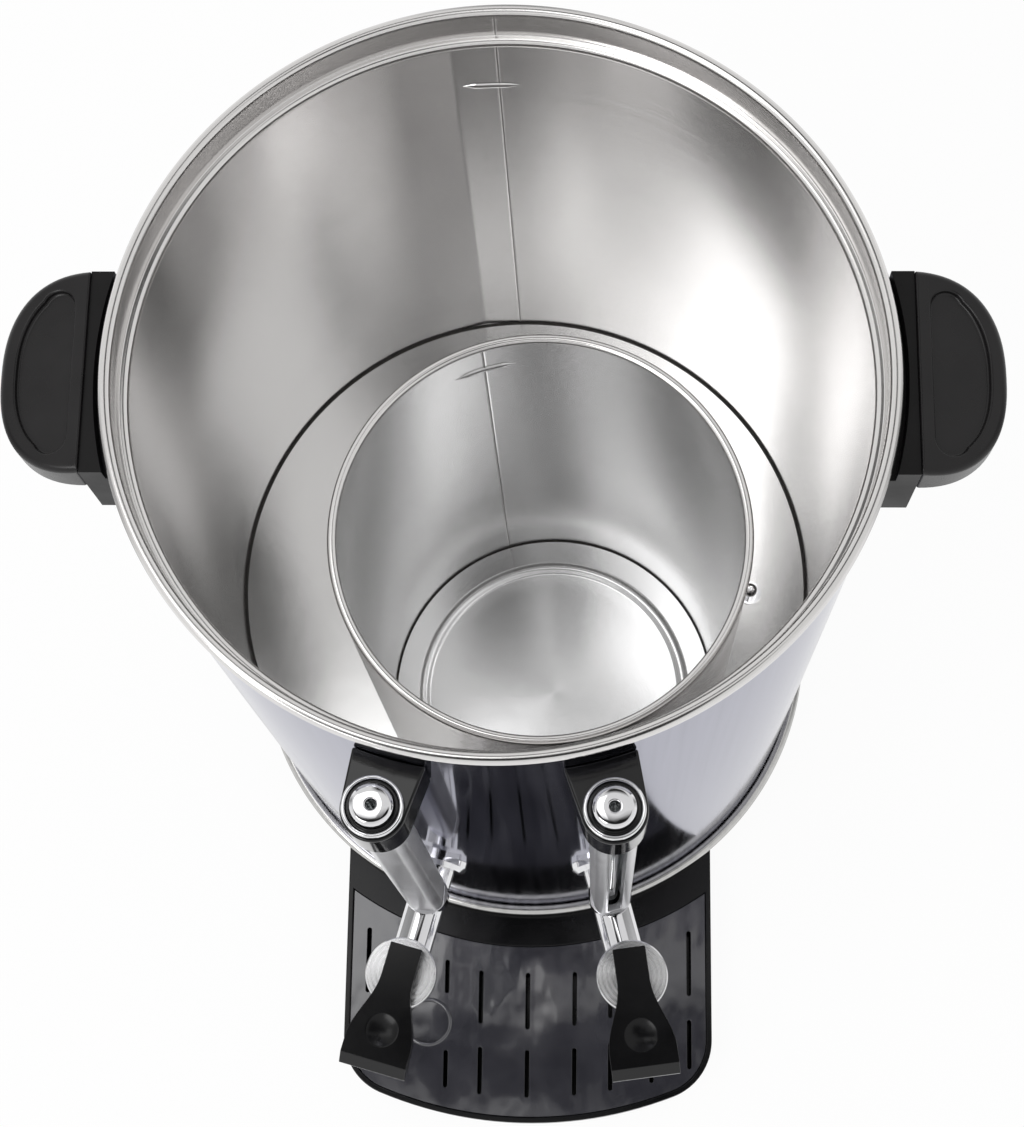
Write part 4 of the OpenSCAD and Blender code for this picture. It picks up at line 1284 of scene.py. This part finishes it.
@dataclass
class Handles:
    """Side handles and their wall brackets, in millimetres."""

    middle: float = 176.0
    edge: float = 1.7
    grip: Rounding = Rounding(4.6, 7)
    bracket: Rounding = Rounding(1.0)

    def weigh(self, side: Side) -> Weigh:
        """Rule that rounds a grip's outer top edge more than the others.

        Args:
            side: the side of the grip.

        Returns:
            The share of the full rounding for an edge.
        """
        def share(edge: bmesh.types.BMEdge) -> float:
            """Full for the outer top edge, small for the rest.

            Args:
                edge: the edge.

            Returns:
                The share.
            """
            spot = (edge.verts[0].co + edge.verts[1].co) / 2
            up = [f for f in edge.link_faces if f.normal.z > 0.9]
            walls = [f for f in edge.link_faces if abs(f.normal.z) < 0.3]
            out = spot - Vector((side.value * self.middle * MM, 0.0, spot.z))
            outer = bool(up and walls) and walls[0].normal.dot(out) > 0 and walls[0].normal.x * side.value > -0.5
            return 1.0 if outer else self.edge / self.grip.width
        return share

    def build(self, finish: Finishes) -> None:
        """Rounds and dresses the handles.

        Args:
            finish: the finishes.
        """
        for side in Side:
            self.grip.soften(f"handle_grip_{side.word}", finish.grip, "urn", Slot.BLACK, self.weigh(side))
            # The brackets take the darker plastic, painted shade between grip and shell.
            self.bracket.soften(f"handle_bracket_{side.word}", finish.bracket, "urn", Slot.BLACK)
        dress(finish.chrome, "handle_screws")


@dataclass
class DripTray:
    """Drip tray and its slotted grid with a finger recess, in millimetres."""

    recess: Pair = (-57.2, -221.5)
    recess_r: float = 12.0
    grid_top: float = 19.2
    lip: Profile = ((-0.3, -1.2), (-0.3, 0.3), (0.0, 0.75), (0.5, 0.95), (1.0, 0.85), (1.5, 0.5), (1.9, 0.0),
                    (1.9, -0.4))
    steps: int = 96

    def build(self, finish: Finishes) -> None:
        """Rounds and dresses the tray and rims its recess.

        Args:
            finish: the finishes.
        """
        Rounding(0.9).soften("drip_tray", finish.tray, "tray", Slot.GLOSS)
        Rounding(0.45, 2).soften("drip_grid", finish.grid, "grid", Slot.GLOSS)
        axis = Round((self.recess[0] * MM, self.recess[1] * MM, 0.0))
        rows = [[axis.point(90 - 360 * i / self.steps, self.recess_r + dr, self.grid_top + dz) for dr, dz in self.lip]
                for i in range(self.steps)]
        enlist(loft("recess_lip", rows, finish.grid, closed=True), "grid", Slot.GLOSS)


@dataclass
class RearControls:
    """Control panel with the knob, the switch, the lamp and the inlet, in millimetres."""

    knob_z: float = 109.0
    knob_y: float = 182.0
    panel_y: float = 165.0
    rocker_x: float = 33.0
    rocker_y: float = 167.0
    rocker_mark: float = 4.6
    stroke: Point = (0.7, 0.2, 4.2)
    circle: Point = (0.6, 0.2, 0.6)
    circle_r: float = 1.9
    circle_steps: int = 33
    rib: Point = (0.8, 3.4, 1.1)
    rib_r: float = 17.95
    rib_lift: float = 2.5
    rib_sweep: float = 352.0
    ribs: int = 45
    pointer: Point = (1.7, 0.9, 9.8)
    pointer_rise: float = 9.6
    tick: Point = (2.4, 0.12, 0.6)
    tick_r: float = 20.5
    tick_start: float = 135.0
    tick_sweep: float = 270.0
    ticks: int = 11

    def build(self, finish: Finishes, ring: Repeat, bars: Repeat) -> None:
        """Dresses the panel, ribs its knob and marks its dial and its switch.

        Args:
            finish: the finishes.
            ring: the tree of bars around a circle.
            bars: the tree of upright rows of bars.
        """
        Rounding(1.2).soften("control_panel", finish.satin, "urn", Slot.BLACK)
        Rounding(0.6).soften("thermostat_knob", finish.satin, "knob", Slot.BLACK)
        Rounding(0.5).soften("switch_rocker", finish.gloss, "rocker", Slot.GLOSS)
        dress(finish.gloss, "mains_inlet")
        dress(finish.chrome, "inlet_pins")
        dress(finish.lamp, "pilot_lamp")
        rearwards = Matrix.Rotation(math.radians(-90), 4, "X")
        collar = shift(0.0, self.panel_y + self.rib_lift, self.knob_z) @ rearwards
        ring.build("knob_ribs", finish.satin, collar, "knob", Slot.BLACK, Count=self.ribs, Radius=self.rib_r * MM,
                   Sweep=math.radians(self.rib_sweep), Bar=scaled(self.rib, MM))
        front = shift(0.0, self.knob_y - self.pointer[1] / 2, self.knob_z + self.pointer_rise)
        bars.build("knob_pointer", finish.paint, front, "knob", Slot.SCALE, Count=1, Pitch=MM,
                   Bar=scaled(self.pointer, MM))
        upper = shift(self.rocker_x, self.rocker_y, self.knob_z + self.rocker_mark)
        bars.build("rocker_on_mark", finish.paint, upper, "rocker", Slot.SCALE, Count=1, Pitch=MM,
                   Bar=scaled(self.stroke, MM))
        lower = shift(self.rocker_x, self.rocker_y, self.knob_z - self.rocker_mark) @ rearwards
        ring.build("rocker_off_mark", finish.paint, lower, "rocker", Slot.SCALE, Count=self.circle_steps,
                   Radius=self.circle_r * MM, Sweep=math.radians(360), Bar=scaled(self.circle, MM))
        first = Matrix.Rotation(math.radians(self.tick_start), 4, "Z")
        face = shift(0.0, self.panel_y + 0.02, self.knob_z) @ rearwards @ first
        ring.build("dial_marks", finish.paint, face, "urn", Slot.SCALE, Count=self.ticks, Radius=self.tick_r * MM,
                   Sweep=math.radians(self.tick_sweep), Bar=scaled(self.tick, MM))


@dataclass
class Studio:
    """Floor, light and camera, in metres."""

    eye: Point = (0.03889, -0.29673, 0.79222 + 0.502)
    right: Point = (0.99922, 0.01459, -0.0366)
    up: Point = (-0.00441, 0.96446, 0.26418)
    back: Point = (0.03915, -0.26381, 0.96378)
    focal_px: float = 2176.4
    image: tuple[int, int] = (1024, 1127)
    sensor: float = 36.0
    floor_half: float = 9.0
    floor_z: float = -0.0008
    horizon: float = 0.55
    zenith: float = 0.80
    warmth: Point = (1.0, 0.997, 0.993)
    ceiling: float = 1.60
    card_low: float = -0.10
    card_high: float = 0.72
    card_cover: float = 0.62

    def camera(self) -> None:
        """Sets the camera where the photograph was taken."""
        data = bpy.data.cameras.new("photo_camera")
        data.sensor_width = self.sensor
        data.lens = self.focal_px / max(self.image) * self.sensor
        data.clip_start = 0.05
        data.clip_end = 60.0
        obj = bpy.data.objects.new("photo_camera", data)
        turn = Matrix((self.right, self.up, self.back)).transposed().to_4x4()
        obj.matrix_world = Matrix.Translation(self.eye) @ turn
        bpy.context.scene.collection.objects.link(obj)
        bpy.context.scene.camera = obj

    def quad(self, name: str, corners: Sequence[Sequence[float]], material: Material) -> Object:
        """Puts a flat sheet in the scene.

        Args:
            name: name of the sheet.
            corners: its four corners in turn.
            material: its finish.

        Returns:
            The sheet.
        """
        mesh = bpy.data.meshes.new(name)
        mesh.from_pydata(corners, [], [(0, 1, 2, 3)])
        mesh.materials.append(material)
        obj = bpy.data.objects.new(name, mesh)
        bpy.context.scene.collection.objects.link(obj)
        return obj

    def floor(self) -> None:
        """Lays a pale floor that shows white, fades a little in far reflections and keeps the shadow."""
        s = Sheet("pale_floor", Roughness=0.9, Specular_IOR_Level=0.0)
        s.feed(Base_Color=s.tint(s.noise(s.place(), 3.0), (LOW, (0.90, 0.90, 0.90)), (HIGH, (0.93, 0.93, 0.93))))
        rays = s.add("ShaderNodeLightPath").outputs
        seen = s.join(s.join(rays["Is Camera Ray"], rays["Is Glossy Ray"], Join.MOST),
                      rays["Is Transmission Ray"], Join.MOST)
        far = s.add("ShaderNodeVectorMath", {0: s.place()}, operation="LENGTH").outputs["Value"]
        mirrored = s.join(seen, s.spread(far, 0.80, 0.60, 0.7, 3.0), Join.TIMES)
        share = s.join(mirrored, s.join(rays["Is Camera Ray"], 0.94, Join.TIMES), Join.MOST)
        s.cover(share, s.add("ShaderNodeEmission"), "Material Output")
        half, z = self.floor_half, self.floor_z
        corners = [(-half, -half, z), (half, -half, z), (half, half, z), (-half, half, z)]
        obj = self.quad("studio_floor", corners, s.material)
        obj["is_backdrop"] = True

    def sky(self) -> None:
        """Fills the room with soft light, brightest overhead, before a white backdrop."""
        world = bpy.data.worlds.new("studio_room")
        bpy.context.scene.world = world
        world.use_nodes = True
        t = Looks(world.node_tree, "Background")
        way = t.add("ShaderNodeTexCoord").outputs["Generated"]
        height = t.add("ShaderNodeSeparateXYZ", {0: way}).outputs["Z"]
        t.feed(Color=t.tint(height, (0.05, scaled(self.warmth, self.horizon)),
                            (0.60, scaled(self.warmth, self.zenith)), blend="EASE"))
        rays = t.add("ShaderNodeLightPath").outputs
        mirrored = t.join(rays["Is Glossy Ray"], rays["Is Transmission Ray"], Join.MOST)
        backdrop = t.join(mirrored, t.spread(height, 0.90, 0.0, 0.10, 0.60), Join.TIMES)
        share = t.join(backdrop, rays["Is Camera Ray"], Join.MOST)
        t.cover(share, t.add("ShaderNodeBackground", Color=(1.0, 1.0, 1.0, 1.0)), "World Output")

    def card(self, name: str, low: Point, high: Point, fade: float = 0.12, cover: float = 1.0) -> None:
        """Hangs a dark card with soft edges that only reflections show, as the viewer and the camera would.

        Args:
            name: name of the card.
            low: its lower corner in metres.
            high: its upper corner in metres.
            fade: width of its soft edges in metres.
            cover: share of the light behind it that it takes away.
        """
        along, across = [k for k in range(3) if low[k] != high[k]]
        corners = [[high[k] if k in taken else low[k] for k in range(3)]
                   for taken in ((), (along,), (along, across), (across,))]
        s = Sheet(name, Roughness=1.0, Specular_IOR_Level=0.0)
        s.feed(Base_Color=s.tint(s.noise(s.place(), 4.0), (LOW, (0.015, 0.015, 0.015)), (HIGH, (0.03, 0.03, 0.03))))
        place = s.add("ShaderNodeSeparateXYZ", {0: s.place()}).outputs
        sides = [s.spread(place[k], 0.0, 1.0, edge, edge + way * fade)
                 for k in (along, across) for edge, way in ((low[k], 1.0), (high[k], -1.0))]
        veil = s.join(s.join(sides[0], sides[1], Join.TIMES), s.join(sides[2], sides[3], Join.TIMES), Join.TIMES)
        s.feed(Alpha=s.join(veil, cover, Join.TIMES))
        obj = self.quad(name, corners, s.material)
        obj.visible_camera = False
        obj.visible_diffuse = False
        obj.visible_shadow = False
        obj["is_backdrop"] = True

    def lamp(self, name: str, at: Point, aim: Point, size: Pair, power: float) -> None:
        """Hangs a soft rectangular lamp.

        Args:
            name: name of the lamp.
            at: its place in metres.
            aim: the point that it faces.
            size: lengths of its sides in metres.
            power: power in watts.
        """
        data = bpy.data.lights.new(name, "AREA")
        data.shape = "RECTANGLE"
        data.size, data.size_y = size
        data.energy = power
        obj = bpy.data.objects.new(name, data)
        way = Vector(aim) - Vector(at)
        obj.matrix_world = Matrix.Translation(at) @ way.to_track_quat("-Z", "Y").to_matrix().to_4x4()
        bpy.context.scene.collection.objects.link(obj)

    def build(self) -> None:
        """Sets up the whole studio."""
        bpy.context.scene.view_settings.view_transform = "Standard"
        bpy.context.scene.cycles.glossy_bounces = 10
        self.camera()
        self.floor()
        self.sky()
        for name, low, high in (("rear", (-0.17, 0.19), (0.41, 0.71)), ("front", (-0.25, -0.62), (0.13, -0.23)),
                                ("viewer", (0.03, -0.75), (0.65, -0.13))):
            self.card(f"{name}_card", (*low, self.ceiling), (*high, self.ceiling))
        for name, low, high in (("left", (-0.48, -0.16), (-0.48, 0.12)), ("right", (0.48, -0.12), (0.48, 0.16)),
                                ("back", (-0.14, 0.50), (0.14, 0.50))):
            self.card(f"{name}_card", (*low, self.card_low), (*high, self.card_high), cover=self.card_cover)
        self.card("lever_card", (-0.19, -0.272, 0.60), (0.15, -0.158, 0.60), 0.03)
        self.lamp("ceiling_softbox", (-0.46, 0.0, 1.75), (-0.1, 0, 0.3), (0.50, 0.80), 1.65)
        self.lamp("side_softbox", (-1.1, -1.2, 1.9), (0, 0, 0.35), (1.0, 1.0), 12.0)


def main() -> None:
    """Builds the samovar's looks in order and reports each piece."""
    logging.basicConfig(level=logging.INFO, format="%(name)s: %(message)s")
    urn, taps = UrnBody(), Taps()
    finish = Finishes({side: taps.head(side) for side in Side}, urn.pot_centre)
    bars, ring = ladder(), dial()
    steps: list[tuple[str, Callable[[], None]]] = [
        ("studio", Studio().build),
        ("urn body", lambda: urn.build(finish, ring)),
        ("taps", lambda: taps.build(finish)),
        ("level gauges", lambda: LevelGauges().build(finish, bars)),
        ("handles", lambda: Handles().build(finish)),
        ("drip tray", lambda: DripTray().build(finish)),
        ("rear controls", lambda: RearControls().build(finish, ring, bars)),
    ]
    for name, step in steps:
        step()
        log.info("built %s", name)
    for obj in sorted(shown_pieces(), key=lambda o: o.name):
        log.info("piece %s: %d faces", obj.name, len(obj.data.polygons) if obj.type == "MESH" else 0)


if __name__ == "__main__":
    main()
